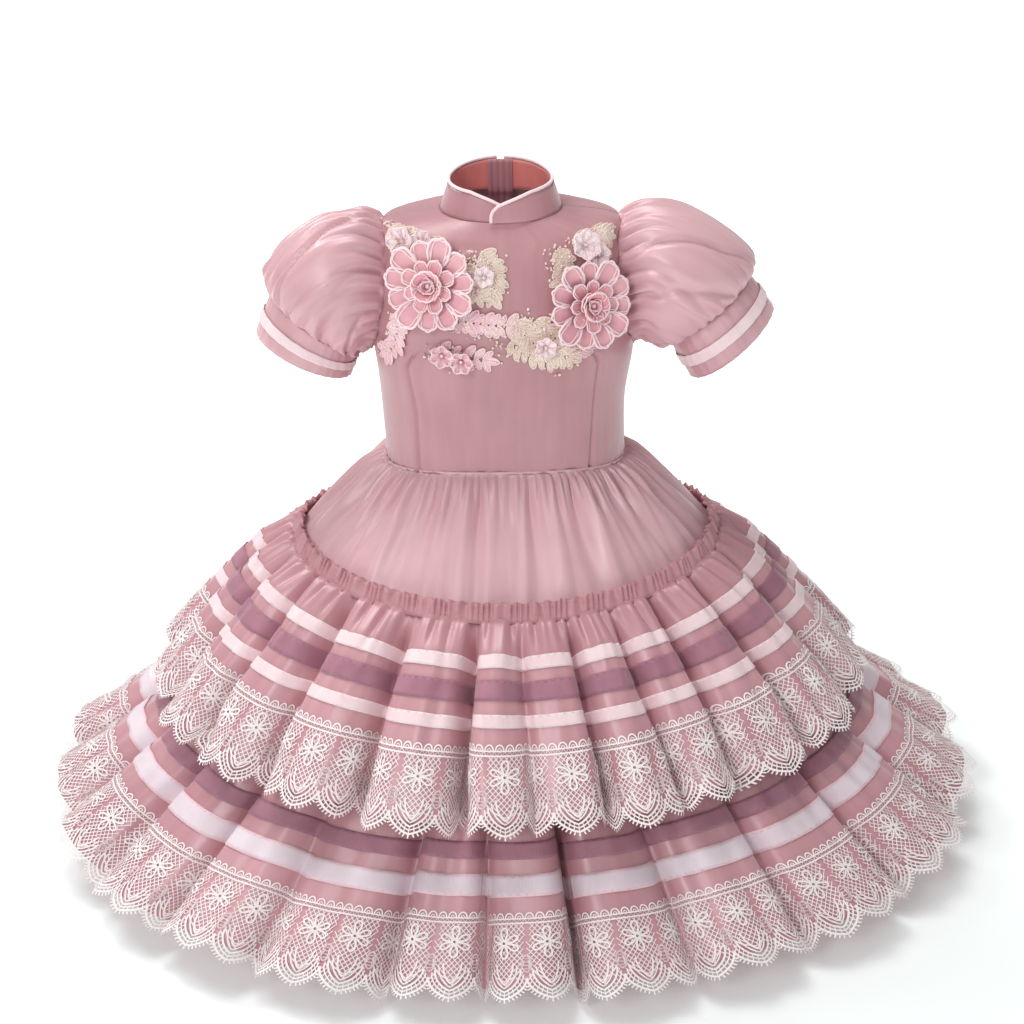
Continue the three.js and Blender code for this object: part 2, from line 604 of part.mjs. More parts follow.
// A flat lace spray: a leafy outline on the chest, following the bodice.
function spray({ share: at, row, wide, tall, lobes, turn, lift }) {
  const columns = lobes * 3;
  const scale = chestScale(at, row);
  const rows = [1, 0.12].map((reach) =>
    Array.from({ length: columns }, (_, i) => {
      const angle = rad((360 * i) / columns);
      const radius = reach * (i % 3 ? 1 : 0.66);
      const [x, z] = [wide * radius * Math.cos(angle), tall * radius * Math.sin(angle)];
      const u = at + (x * Math.cos(rad(turn)) - z * Math.sin(rad(turn))) / scale.share;
      const v = row + (x * Math.sin(rad(turn)) + z * Math.cos(rad(turn))) / scale.row;
      return chest(u, v).addScaledVector(chestOut(u, v), LACE + lift);
    }),
  );
  return wall(rows, LACE, true);
}

// The zip's line at the centre back, between the edges beside it. Each row has the edge's point on the outer
// face of the cloth and the next point away from the zip, from the bottom of the zip up through the collar.
function zipRows(back, yoke, collarGrid) {
  const yokeRows = [yoke.at(-2), yoke.at(-1)];
  const edge = (row) => ({ edge: row.at(-1), next: row.at(-2) });
  return [...yokeRows.map(edge), ...back.map(edge), ...collarGrid.map((row) => edge(row))];
}

// A strip along the zip, to halfWidth on each side, between two heights over the cloth's outer face.
function zipStrip(rows, halfWidth, outer, inner) {
  const across = (row, x) => {
    const p = between(row.edge, row.next, Math.max(0, (x - row.edge.x) / (row.next.x - row.edge.x)));
    return p.setX(x);
  };
  const grid = rows.map((row) => {
    const [out, middle] = [across(row, halfWidth), across(row, 0)];
    return [out, middle, point(-out.x, out.y, out.z)];
  });
  const up = normals(grid, false);
  return wallBetween(moved(grid, up, outer), moved(grid, up, inner), false);
}

// The zip's slider and its pull tab, which hangs from a bar under the slider's arch and swings about X.
function zipSlider(face) {
  const { arch, plate, height } = SLIDER;
  const base = box(SLIDER.wide, plate, SLIDER.tall, 0, face + plate / 2, height);
  const rise = arch.rise + arch.leg;
  const top = face + plate;
  const block = solidOf(box(arch.wide, rise + 0.1, arch.tall, 0, top + rise / 2 - 0.05, height));
  const opening = box(arch.wide + 1, arch.rise, arch.tall - 2 * arch.leg, 0, top + arch.rise / 2, height);
  const eye = solidOf(opening);
  return geometryOf(solidOf(base).add(block.subtract(eye)));
}
function zipPull(face) {
  const y = face + SLIDER.plate + PULL.pivot;
  const bar = new THREE.CylinderGeometry(PULL.bar, PULL.bar, PULL.wide, 8).rotateZ(Math.PI / 2);
  const arms = [-1, 1].map((side) =>
    box(
      PULL.arm, 2 * PULL.bar, PULL.eye + 0.4,
      (side * (PULL.wide - PULL.arm)) / 2, 0, -PULL.eye / 2 - 0.1,
    ));
  const tab = box(PULL.wide, 2 * PULL.bar, PULL.long - PULL.eye, 0, 0, -(PULL.eye + PULL.long) / 2);
  return joined(bar, ...arms, tab).translate(0, y, SLIDER.height);
}

add("bodice_front", wall(bodiceFront(), CLOTH, false), "rose");
add("bodice_back_left", wall(bodiceBack(1), CLOTH, false), "rose");
add("bodice_back_right", wall(bodiceBack(-1), CLOTH, false), "rose");

const collar = { left: collarHalf(1), right: collarHalf(-1) };
for (const [name, half] of Object.entries(collar)) {
  add(`collar_${name}`, wall(half.grid, COLLAR_WALL, false), "rose");
  add(`collar_piping_${name}`, piping(half.edge), "pale");
}

for (const [name, sleeve] of Object.entries(SLEEVES)) {
  add(`sleeve_${name}`, wall(puff(sleeve).reverse(), CLOTH, true), "rose");
  add(`cuff_${name}`, wall(cuffRings(sleeve, [1, 0]), CLOTH, true), "rose");
  const ribbonRings = cuffRings(sleeve, [CUFF_RIBBON.to, CUFF_RIBBON.from]);
  add(`cuff_ribbon_${name}`, bandOn(ribbonRings, RIBBON, true), "pale");
}

const gathers = gatherAngles(YOKE_GATHERS);
const yokeLeft = panel(YOKE, gathers, 90, 180);
add("yoke_front", wall(panel(YOKE, gathers, -90, 90), CLOTH, false), "rose");
add("yoke_back_left", wall(yokeLeft, CLOTH, false), "rose");
add("yoke_back_right", wall(panel(YOKE, gathers, 180, 270), CLOTH, false), "rose");
add("flounce_heading", heading(), "rose");

const tiers = { upper: { tier: UPPER, folds: UPPER_FOLDS }, lower: { tier: LOWER, folds: LOWER_FOLDS } };
for (const [name, made] of Object.entries(tiers)) {
  const stations = foldAngles(hiddenFolds(made.folds));
  add(`${name}_flounce_front`, wall(panel(made.tier, stations, -90, 90), CLOTH, false), "rose");
  add(`${name}_flounce_back`, wall(panel(made.tier, stations, 90, 270), CLOTH, false), "rose");
  made.rings = tierRings(made.tier, stations);
  const plain = solidOf(lace(made.rings));
  const openwork = loopCutters(made.rings).reduce((band, loop) => band.subtract(loop), plain);
  add(`${name}_lace`, geometryOf(openwork), "lace");
}
for (const { name, on, ring, from, to, colour } of RIBBONS) {
  add(name, bandOn(strip(tiers[on].rings, ring, from, to), RIBBON, true), colour);
}

for (const flower of FLOWERS) {
  add(`${flower.name}_petals`, whorl(flower, flower.size, 1.9, 4), "petal");
  add(`${flower.name}_heart`, whorl({ ...flower, petals: 6 }, flower.size * 0.46, 2.4, 7), "petal");
}
for (const patch of SPRAYS) add(patch.name, spray(patch), "gold");

const zip = zipRows(bodiceBack(1), yokeLeft, collar.left.grid);
add("zip_tape", zipStrip(zip, ZIP.tape / 2, -ZIP.under, -ZIP.under - 0.9), "rose");
add("zip_teeth", zipStrip(zip, ZIP.teeth / 2, ZIP.proud, ZIP.proud - 1.7), "rose");
const collarBack = zip.slice(-2).map((row) => row.edge);
const onCollar = (SLIDER.height + SLIDER.tall / 2 - collarBack[0].z) / (collarBack[1].z - collarBack[0].z);
const lowOnCollar = onCollar - SLIDER.tall / (collarBack[1].z - collarBack[0].z);
const sliderFace = between(...collarBack, lowOnCollar).y + ZIP.proud + SEAM;
add("zip_slider", zipSlider(sliderFace), "metal", 0.9);
add("zip_pull", zipPull(sliderFace), "metal", 0.9);

export default dress;
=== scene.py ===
# %% [markdown]
# # A child's escaramuza dress in rose satin
# The dress stands filled out, as if it were worn. Its solids are already in the frame, and this lesson gives
# each piece of cloth a finer shape and its finish. Everything is in the frame's metres, with +X to the
# wearer's left.

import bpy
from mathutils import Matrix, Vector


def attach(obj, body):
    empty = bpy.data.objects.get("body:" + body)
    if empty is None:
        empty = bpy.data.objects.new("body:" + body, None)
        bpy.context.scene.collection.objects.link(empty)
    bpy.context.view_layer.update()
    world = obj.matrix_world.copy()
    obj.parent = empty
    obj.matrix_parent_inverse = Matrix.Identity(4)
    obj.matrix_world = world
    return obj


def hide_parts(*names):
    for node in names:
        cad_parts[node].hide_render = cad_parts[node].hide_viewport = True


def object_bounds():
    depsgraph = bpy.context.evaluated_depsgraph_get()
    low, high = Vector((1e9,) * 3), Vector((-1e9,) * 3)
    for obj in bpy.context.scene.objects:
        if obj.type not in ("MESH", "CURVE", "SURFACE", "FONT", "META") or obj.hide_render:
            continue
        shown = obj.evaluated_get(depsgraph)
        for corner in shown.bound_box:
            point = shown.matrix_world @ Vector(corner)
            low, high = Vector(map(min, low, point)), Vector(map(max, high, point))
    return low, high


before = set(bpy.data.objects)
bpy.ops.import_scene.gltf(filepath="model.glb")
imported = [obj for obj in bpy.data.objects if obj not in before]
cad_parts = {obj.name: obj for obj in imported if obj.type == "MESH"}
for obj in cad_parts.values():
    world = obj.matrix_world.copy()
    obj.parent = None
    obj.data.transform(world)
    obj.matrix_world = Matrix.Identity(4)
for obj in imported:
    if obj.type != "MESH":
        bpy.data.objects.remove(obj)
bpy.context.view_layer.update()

# %% [markdown]
# ## Sizes
# The same sizes as the solids', in millimetres. A section is an ellipse whose power makes it squarer. Angle 0
# is the front and 90 the wearer's left.

# %% Sizes of the body, the skirt and its folds
import math

import bmesh
import bpy
import mathutils
import numpy as np

MM = 0.001
SATIN = 1.0
ROUND = 2.4
ZIP_GAP = 3.2
ARMHOLE = 27
ARMHOLE_ROWS = (2, 7)
TORSO = np.array([
    # wide, deep, front, side, back, open
    (101, 67, -197, -203, -197, 0),
    (102, 69, -150, -152, -150, 0),
    (107, 72, -106, -108, -106, 0),
    (107, 73, -86, -90, -86, 0.7),
    (105, 71, -60, -61, -58, 0.97),
    (101, 66, -34, -31, -28, 0.95),
    (97, 60, -15, -8, -6, 0.68),
    (94, 56, -8, 2, 2, 0),
    (74, 50, 0, 7, 9, 0),
    (49, 44, 8, 10, 13, 0),
], float)
COLLAR = {"base": (49, 44), "top": (42, 41), "front": 20, "side": 21, "back": 25}
COLLAR_LAP, COLLAR_CURVE, COLLAR_OVER, COLLAR_BACK_END = 5, 34, 3.6, 177.6
SLEEVES = {
    "right": {
        "side": -1,
        # the top point's out and up, the low point's out and up, deep
        "puff": [(116, 9, 112, -107, 50), (146, 4, 115, -111, 58), (177, -17, 118, -113, 58),
                 (194, -41, 119, -112, 50), (189, -57, 121, -107, 41)],
        "cuff": [(189.2, -57.5, 121.2, -107.5, 41), (204, -91, 127, -130, 43)],
    },
    "left": {
        "side": 1,
        "puff": [(118, 11, 113, -101, 50), (150, 6, 119, -106, 58), (184, -14, 126, -108, 58),
                 (204, -34, 131, -107, 50), (201, -48, 136, -101, 41)],
        "cuff": [(201.3, -48.4, 136.3, -101.4, 41), (223, -77, 156, -136, 43)],
    },
}
YOKE = {
    "top": [(101, -203.6), (67, -197.6)], "tips": [(180, -273), (157, -283)], "flare": 0.92,
    "at": [0, 0.2, 0.6, 1], "fold": [0.003, 0.02, 0.016, 0.008], "power": [ROUND, 2.2, 2.1, 2],
}
UPPER = {
    "top": [(183.3, -271.3), (160.5, -281.4)], "tips": [(311, -410), (276, -413)], "flare": 0.85,
    "at": [0, 0.15, 0.555, 0.923], "fold": [0.007, 0.042, 0.042, 0.042], "power": [2, 2, 2, 2],
}
LOWER = {
    "top": [(180.5, -277), (157.5, -287)], "tips": [(417, -508), (334, -522)], "flare": 1.55,
    "at": [0, 0.25, 0.6, 0.8, 0.965], "fold": [0.005, 0.018, 0.03, 0.03, 0.03],
    "power": [2, 2.05, 2.15, 2.15, 2.15],
}
BACK = {"from": -205, "to": -285, "deep": 0.88, "drop": 8}
FRONT_FOLDS = {
    # at, high, groove, lean
    "upper": [(-90, 0.9, 0.9, 0), (-73, 1.1, 1.0, 0.1), (-57, 0.9, 0.9, -0.1), (-42, 1.0, 1.2, 0.1),
              (-24, 1.0, 1.4, 0), (-7, 1.2, 1.8, -0.1), (3, 0.6, 0.5, 0.1), (14.5, 1.1, 1.3, 0),
              (26, 0.8, 1.0, -0.1), (38, 1.1, 1.2, 0.1), (53, 1.2, 1.5, 0), (71, 0.9, 1.1, 0)],
    "lower": [(-90, 0.8, 0.8, 0), (-74, 1.0, 0.9, -0.1), (-58, 0.8, 0.8, 0.1), (-43, 1.0, 1.0, 0),
              (-29, 0.8, 0.6, 0.1), (-12, 0.5, 0.9, 0.2), (-3, 1.3, 0.9, 0), (6, 1.0, 1.7, -0.2),
              (19, 0.9, 0.8, -0.1), (35, 1.0, 0.9, 0), (52, 1.1, 1.0, 0.1), (71, 0.9, 1.0, 0)],
}
RIBBONS = [
    # name, tier, from and to as shares of the tier, finish
    ("upper_ribbon_pale_high", "upper", 0.1581, 0.2189, "pale"),
    ("upper_ribbon_mauve", "upper", 0.2715, 0.3647, "mauve"),
    ("upper_ribbon_pale_low", "upper", 0.4295, 0.4902, "pale"),
    ("lower_ribbon_mauve", "lower", 0.636, 0.68, "mauve"),
    ("lower_ribbon_white", "lower", 0.716, 0.768, "white"),
]
LACE_FROM = {"upper": 0.562, "lower": 0.803}

# %% [markdown]
# ## Surfaces from rules
# A skirt tier is a round surface that grows on its way down, and its folds stand square to its slope. Written
# as one function of height and angle, the same surface carries the cloth, the ribbons, the lace and stitches.


# %% Surfaces of the skirt
def lerp(a, b, t):
    return a + (b - a) * t


def section(wide, deep, degrees, power):
    """A point of a rounded section, as x and y."""
    s, c = np.sin(np.radians(degrees)), np.cos(np.radians(degrees))
    return wide * np.sign(s) * np.abs(s) ** (2 / power), -deep * np.sign(c) * np.abs(c) ** (2 / power)


def tier_plain(tier, at, degrees):
    """Points of a tier before it is folded."""
    at, degrees = np.broadcast_arrays(np.asarray(at, float), np.asarray(degrees, float))
    grow = np.clip(at, 0, None) ** tier["flare"]
    (top_side, top_side_z), (top_front, top_front_z) = tier["top"]
    (tip_side, tip_side_z), (tip_front, tip_front_z) = tier["tips"]
    x, y = section(lerp(top_side, tip_side, grow), lerp(top_front, tip_front, grow), degrees,
                   np.interp(at, tier["at"], tier["power"]))
    sideways = np.sin(np.radians(degrees)) ** 2
    z = lerp(lerp(top_front_z, tip_front_z, at), lerp(top_side_z, tip_side_z, at), sideways)
    low = np.clip((z - BACK["from"]) / (BACK["to"] - BACK["from"]), 0, 1) * (y > 0)
    front = lerp(top_front, tip_front, grow)
    return np.stack([x, y * lerp(1, BACK["deep"], low), z - BACK["drop"] * low * y / front], axis=-1)


def unit(v):
    return v / np.maximum(np.linalg.norm(v, axis=-1, keepdims=True), 1e-9)


def far_along(path):
    """How far each point of a path is from its start."""
    return np.append(0, np.cumsum(np.linalg.norm(np.diff(path, axis=0), axis=1)))


def at_distances(path, far, want):
    """Points of a path at the wanted distances along it."""
    return np.stack([np.interp(want, far, path[:, k]) for k in range(3)], -1)


def tier_out(tier, at, degrees):
    """The direction square to a tier's slope."""
    down = tier_plain(tier, at + 0.03, degrees) - tier_plain(tier, np.maximum(at - 0.03, 0), degrees)
    turn = np.radians(np.broadcast_to(degrees, down.shape[:-1]))
    outward = np.stack([np.sin(turn), -np.cos(turn), np.zeros_like(turn)], axis=-1)
    square = outward * -down[..., 2:3]
    square[..., 2] = (down * outward).sum(-1)
    return unit(square)


def hidden_folds(front):
    """The folds seen in front, and similar ones round the back."""
    k = np.arange(10)
    at = 90 + 18 * k + np.where(k > 0, 2.6 * np.sin(3.1 * k), 0)
    rest = zip(at, 0.95 + 0.2 * np.sin(2.2 * k + 1), 1 + 0.3 * np.sin(1.7 * k), 0.1 * np.sin(2.9 * k))
    return np.array(list(front) + list(rest), float)


def fold_height(folds, degrees):
    """Broad rounded crests between narrow grooves: about 1 on a crest and about -1 in a groove."""
    turn = (np.asarray(degrees, float) + 90) % 360 - 90
    start = folds[:, 0]
    k = np.clip(np.searchsorted(start, turn, side="right") - 1, 0, len(folds) - 1)
    end = np.append(start[1:], start[0] + 360)[k]
    share = (turn - start[k]) / (end - start[k])
    crest = 0.5 + folds[k, 3]
    u = np.where(share < crest, share / crest * 0.5, 0.5 + (share - crest) / (1 - crest) * 0.5)
    up = 1 - np.abs(2 * u - 1) ** 3
    groove = lerp(folds[k, 2], np.roll(folds[:, 2], -1)[k], u)
    notch = 0.95 * np.exp(-((np.minimum(u, 1 - u) / 0.07) ** 2)) * np.clip(groove, 0, 1.7)
    return folds[k, 1] * up - groove * (1 - up) - notch


def fold_step(folds, degrees):
    """How much higher each fold hangs than the lowest one, from 0 to 1."""
    turn = (np.asarray(degrees, float) + 90) % 360 - 90
    start = folds[:, 0]
    wide = np.append(start[1:], start[0] + 360) - start
    knots = np.stack([start + 0.1 * wide, start + 0.9 * wide], -1).ravel()
    steps = np.repeat(0.5 + 0.5 * np.sin(2.4 * np.arange(len(start)) + 1), 2)
    return np.interp(turn, knots, steps, period=360)


def ripple(degrees, waves, seed=0.0):
    """An uneven wave that closes on itself after a full turn."""
    t = np.radians(degrees)
    return np.sin(waves * t + 1.9 * np.sin(3 * t + seed) + 1.3 * np.sin(7 * t + 2.1 * seed) + seed)


def grooves(degrees, waves, seed=0.0):
    """Like a ripple, but with broad crests and narrow grooves, as gathered cloth has."""
    return 1 - 2 * ((1 - ripple(degrees, waves, seed)) / 2) ** 2.2


FOLDS = {name: hidden_folds(front) for name, front in FRONT_FOLDS.items()}
TIERS = {"upper": UPPER, "lower": LOWER}


def flounce_point(name, at, degrees, lift=0.0):
    """A flounce with its folds, and the small gathers that fade out below its top edge."""
    tier = TIERS[name]
    at, degrees = np.broadcast_arrays(np.asarray(at, float), np.asarray(degrees, float))
    fold = np.interp(at, tier["at"], tier["fold"]) * lerp(tier["top"][0][0], tier["tips"][0][0],
                                                          np.clip(at, 0, None) ** tier["flare"])
    height = fold * fold_height(FOLDS[name], degrees + 0.9 * at * ripple(degrees, 9, 2.0 + 2 * at))
    reach = 0.12 + 0.16 * (0.5 + 0.5 * ripple(degrees, 19, 4.0))
    gather = np.exp(-((at / reach) ** 2)) * (2.5 * grooves(degrees, 71, 1.0) + 0.9 * ripple(degrees, 127, 2.0))
    gather = gather * np.clip(at / 0.02, 0.2, 1)
    soft = 1.0 * grooves(degrees + 2 * at, 53, 3.0 + at) + 0.6 * ripple(degrees, 83, 1.0 + 2 * at)
    soft = soft * np.clip(at * 2.5, 0, 1)
    out = height + gather + soft + lift
    points = tier_plain(tier, at, degrees) + tier_out(tier, at, degrees) * out[..., None]
    raised = 4.0 * fold_step(FOLDS[name], degrees) + 2.0 * (1 - fold_height(FOLDS[name], degrees))
    points[..., 2] += raised * np.clip(at * 1.6 - 0.1, 0, 1)
    return points


def yoke_point(at, degrees, lift=0.0):
    """The first tier: fine gathers at the waist that merge into long soft folds. Above 0 it tucks in."""
    at, degrees = np.broadcast_arrays(np.asarray(at, float), np.asarray(degrees, float))
    k = np.arange(80)
    angle = -90 + 4.5 * k + np.where(k % 20 > 0, 0.875 * np.sin(1.9 * k), 0)
    height = np.where(k % 2, 1, -1) * (0.8 + 0.2 * np.sin(2.3 * k))
    turn = (degrees + 90) % 360 - 90
    wave = np.interp(turn, np.append(angle, angle[0] + 360), np.append(height, height[0]))
    wave = np.sin(wave * math.pi / 2)
    radius = lerp(101, 180, np.clip(at, 0, None) ** YOKE["flare"])
    broad = 1.7 * np.interp(at, YOKE["at"], YOKE["fold"]) * radius * wave * np.interp(at, [0.15, 0.6], [1, 0.4])
    fine = np.exp(-((at / 0.24) ** 2)) * (1.9 * grooves(degrees, 104, 0.4) + 0.6 * ripple(degrees, 171, 1.4))
    soft = (3.4 * ripple(degrees, 13, 5.0) + 1.3 * grooves(degrees, 34, 2.0 + at)) * np.sin(
        np.pi * np.clip(at, 0, 1) ** 0.8)
    seam = np.clip(at / 0.04, 0, 1)
    tuck = -1.3 * np.clip(-at / 0.012, 0, 1)
    return tier_plain(YOKE, at, degrees) + tier_out(YOKE, at, degrees) * (
        broad + (fine + soft) * seam + tuck + lift)[..., None]


print("hem of the lower flounce", np.round(flounce_point("lower", 1.0, np.array([0, 90, 180])), 1).tolist())

# %% [markdown]
# ## From points to cloth
# A grid of points becomes a thin wall with a right side, a wrong side and rims, because an edge with no
# thickness looks like paper. Its UV map is in metres along the cloth, so a weave keeps its size on every
# piece.


# %% A thin wall with a UV map
def outward(grid, closed):
    """Normals of a grid whose rows run from low to high and whose columns run with the angle."""
    wide = np.concatenate([grid[:, -2:-1], grid, grid[:, 1:2]], axis=1) if closed else grid
    across = np.gradient(wide, axis=1)
    across = across[:, 1:-1] if closed else across
    return unit(np.cross(across, np.gradient(grid, axis=0)))


def lengths(grid):
    """How far each point is along its row and up its column, taken at the middle of the piece, in metres."""
    along, up = far_along(grid[len(grid) // 2]), far_along(grid[:, grid.shape[1] // 2])
    return np.broadcast_to(along * MM, grid.shape[:2]), np.broadcast_to(up[:, None] * MM, grid.shape[:2])


def mesh_object(name, points, faces, corner_uv=None, inside=None, flat=None):
    """An object from points in millimetres, with a UV map by face corner."""
    mesh = bpy.data.meshes.new(name)
    faces = faces if isinstance(faces, list) else faces.tolist()
    mesh.from_pydata((np.asarray(points) * MM).tolist(), [], faces)
    mesh.polygons.foreach_set("use_smooth", np.ones(len(mesh.polygons), bool) if flat is None else ~flat)
    if corner_uv is not None:
        mesh.uv_layers.new(name="cloth").data.foreach_set("uv", np.asarray(corner_uv, np.float32).ravel())
    if inside is not None:
        mesh.polygons.foreach_set("material_index", inside.astype(np.int32))
    made = bpy.data.objects.new(name, mesh)
    bpy.context.scene.collection.objects.link(made)
    return made


def reworked(made, work):
    """Lets a mesh operation work on a piece."""
    bm = bmesh.new()
    bm.from_mesh(made.data)
    work(bm)
    bm.to_mesh(made.data)
    bm.free()
    return made


def weld(made):
    """Joins points that lie on each other, as along the seam of a tube."""
    return reworked(made, lambda bm: bmesh.ops.remove_doubles(bm, verts=bm.verts, dist=1e-6))


def turned_out(made):
    """Turns every face of a closed shape outwards."""
    return reworked(made, lambda bm: bmesh.ops.recalc_face_normals(bm, faces=bm.faces))


def joined(pieces):
    """One object from several. It is the first of them."""
    if len(pieces) > 1:
        with bpy.context.temp_override(active_object=pieces[0], selected_editable_objects=pieces):
            bpy.ops.object.join()
    return pieces[0]


def cloth(name, grid, thick=SATIN, closed=False, two_finishes=False):
    """A wall of cloth under a grid of points on its right side."""
    rows, columns = grid.shape[:2]
    out = outward(grid, closed)
    points = np.concatenate([grid.reshape(-1, 3), (grid - out * thick).reshape(-1, 3)])
    place = np.arange(rows * columns).reshape(rows, columns)
    under = place + rows * columns
    a, b, c, d = place[:-1, :-1], place[:-1, 1:], place[1:, 1:], place[1:, :-1]
    right = np.stack([a, b, c, d], -1).reshape(-1, 4)
    wrong = (np.stack([a, d, c, b], -1) + rows * columns).reshape(-1, 4)
    rims = [np.stack([under[0, :-1], under[0, 1:], place[0, 1:], place[0, :-1]], -1),
            np.stack([place[-1, :-1], place[-1, 1:], under[-1, 1:], under[-1, :-1]], -1)]
    if not closed:
        rims += [np.stack([under[:-1, 0], place[:-1, 0], place[1:, 0], under[1:, 0]], -1),
                 np.stack([place[:-1, -1], under[:-1, -1], under[1:, -1], place[1:, -1]], -1)]
    faces = np.concatenate([right, wrong, *rims])
    u, v = lengths(grid)
    uv = np.tile(np.stack([u.ravel(), v.ravel()], -1), (2, 1))[faces.ravel()]
    inside = np.zeros(len(faces), int)
    if two_finishes:
        inside[len(right):len(right) + len(wrong)] = 1
    flat = np.zeros(len(faces), bool)
    flat[len(right) + len(wrong):] = True
    made = mesh_object(name, points, faces, uv, inside, flat)
    return weld(made) if closed else made


def grid_of(surface, low, high, rows, start, end, columns):
    """Points of a surface(at, degrees) from low up to high."""
    at = np.linspace(low, high, rows)[:, None]
    return surface(at, np.linspace(start, end, columns)[None, :])


def finish(made, nodes, materials):
    """Gives a piece its materials, lets it ride on the dress and stand for its solids."""
    which = np.zeros(len(made.data.polygons), np.int32)
    made.data.polygons.foreach_get("material_index", which)
    made.data.materials.clear()
    for material in materials:
        made.data.materials.append(material)
    made.data.polygons.foreach_set("material_index", np.minimum(which, len(materials) - 1))
    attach(made, "dress")
    if nodes:
        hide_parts(*nodes)


print("helpers ready")

# %% [markdown]
# ## Finishes
# Satin is smooth threads that shine along one way, so its gloss is soft and its colour shifts a little in broad
# patches at random; its upright streaks are painted sheen. Each finish is built from a few nodes, on the piece's
# own UV map in metres.


# %% Materials
def paint(red, green, blue):
    """A colour as it is seen on a screen, from 0 to 255, as the shader wants it."""
    seen = np.array([red, green, blue]) / 255
    return (*np.where(seen <= 0.04045, seen / 12.92, ((seen + 0.055) / 1.055) ** 2.4).tolist(), 1.0)


def new_material(name, roughness, **sockets):
    material = bpy.data.materials.new(name)
    material.use_nodes = True
    shader = material.node_tree.nodes["Principled BSDF"]
    shader.inputs["Roughness"].default_value = roughness
    for socket, value in sockets.items():
        shader.inputs[socket.replace("_", " ")].default_value = value
    return material, material.node_tree, shader


def put(tree, kind, inputs=None, **settings):
    """A node with its settings and with numbers or links on its inputs."""
    node = tree.nodes.new(kind)
    for key, value in settings.items():
        setattr(node, key, value)
    for key, value in (inputs or {}).items():
        if isinstance(value, bpy.types.NodeSocket):
            tree.links.new(value, node.inputs[key])
        else:
            node.inputs[key].default_value = value
    return node


def maths(tree, operation, *values):
    return put(tree, "ShaderNodeMath", dict(enumerate(values)), operation=operation).outputs[0]


def sine(tree, value, factor):
    """The sine of a value times a factor."""
    return maths(tree, "SINE", maths(tree, "MULTIPLY", value, factor))


def cloth_map(tree):
    """The piece's own UV map in metres."""
    return put(tree, "ShaderNodeUVMap", uv_map="cloth").outputs[0]


def along_and_up(tree):
    """The UV map as two numbers."""
    return put(tree, "ShaderNodeSeparateXYZ", {0: cloth_map(tree)}).outputs[:2]


def noise(tree, scale, detail, vector=None):
    """Soft uneven values, on the piece's own coordinates unless others are given."""
    if vector is None:
        vector = put(tree, "ShaderNodeTexCoord").outputs["Object"]
    return put(tree, "ShaderNodeTexNoise", {"Vector": vector, "Scale": scale, "Detail": detail}).outputs[0]


def relief(tree, height, strength, distance, **more):
    """A height that changes only how the light falls."""
    sizes = {"Strength": strength, "Distance": distance, "Height": height}
    return put(tree, "ShaderNodeBump", {**sizes, **more}).outputs[0]


def patches(tree, shader, light, dark, scale, contrast=1.0, painted_sheen=0.0):
    """Two tones of one colour in soft patches at random, and, for a share, in upright streaks of painted sheen."""
    tone = noise(tree, scale, 3.0)
    if painted_sheen:
        tall = put(tree, "ShaderNodeMapping", {"Vector": cloth_map(tree), "Scale": (1.0, 0.1, 1.0)}).outputs[0]
        sheen_streak = noise(tree, 140.0, 4.0, tall)
        tone = maths(tree, "ADD", maths(tree, "MULTIPLY", tone, 1 - painted_sheen),
                     maths(tree, "MULTIPLY", sheen_streak, painted_sheen))
    ramp = put(tree, "ShaderNodeValToRGB", {0: tone})
    ramp.color_ramp.elements[0].position = 0.5 - 0.2 / contrast
    ramp.color_ramp.elements[1].position = 0.5 + 0.2 / contrast
    ramp.color_ramp.elements[0].color = dark
    ramp.color_ramp.elements[1].color = light
    tree.links.new(ramp.outputs[0], shader.inputs["Base Color"])
    return ramp


def satin(name, light, dark, roughness=0.37, sheen=0.35, weave=1800.0, shine=0.85):
    """Smooth woven cloth: fine slanting threads, upright streaks of painted sheen and soft unevenness."""
    material, tree, shader = new_material(name, roughness, Sheen_Weight=sheen, Sheen_Roughness=0.4,
                                          Specular_IOR_Level=shine)
    shader.inputs["Sheen Tint"].default_value = (1.0, 0.9, 0.92, 1.0)
    # the tone varies at random in soft patches, and three tenths of it is painted sheen in upright streaks
    patches(tree, shader, light, dark, 9.0, 1.2, 0.3)
    along, up = along_and_up(tree)
    warp = sine(tree, along, weave * 2 * math.pi)
    slanting = sine(tree, maths(tree, "ADD", maths(tree, "MULTIPLY", along, 3.0), up), weave * math.pi)
    threads = maths(tree, "MULTIPLY", maths(tree, "ADD", warp, slanting), 0.5)
    fine = relief(tree, threads, 0.12, 0.0001)
    tree.links.new(relief(tree, noise(tree, 40.0, 2.0), 0.22, 0.002, Normal=fine), shader.inputs["Normal"])
    return material


def ribbon_cloth(name, light, dark, edge, rib=900.0, roughness=0.5):
    """Ribbed ribbon with a thin edge in another tone. The wall's UV runs up from 0 at its lower edge."""
    material, tree, shader = new_material(name, roughness, Sheen_Weight=0.3, Sheen_Roughness=0.4,
                                          Specular_IOR_Level=0.4)
    ramp = patches(tree, shader, light, dark, 30.0)
    along, _ = along_and_up(tree)
    wide = put(tree, "ShaderNodeAttribute", attribute_name="edge")
    blend = put(tree, "ShaderNodeMix", data_type="RGBA")
    # the Mix node has one socket of each name for every kind of data, so the colour ones are set by place
    for spot, value in ((0, wide.outputs["Fac"]), (6, ramp.outputs[0])):
        tree.links.new(value, blend.inputs[spot])
    blend.inputs[7].default_value = edge
    tree.links.new(blend.outputs[2], shader.inputs["Base Color"])
    ribs = sine(tree, along, rib * 2 * math.pi)
    tree.links.new(relief(tree, ribs, 0.4, 0.0002), shader.inputs["Normal"])
    return material


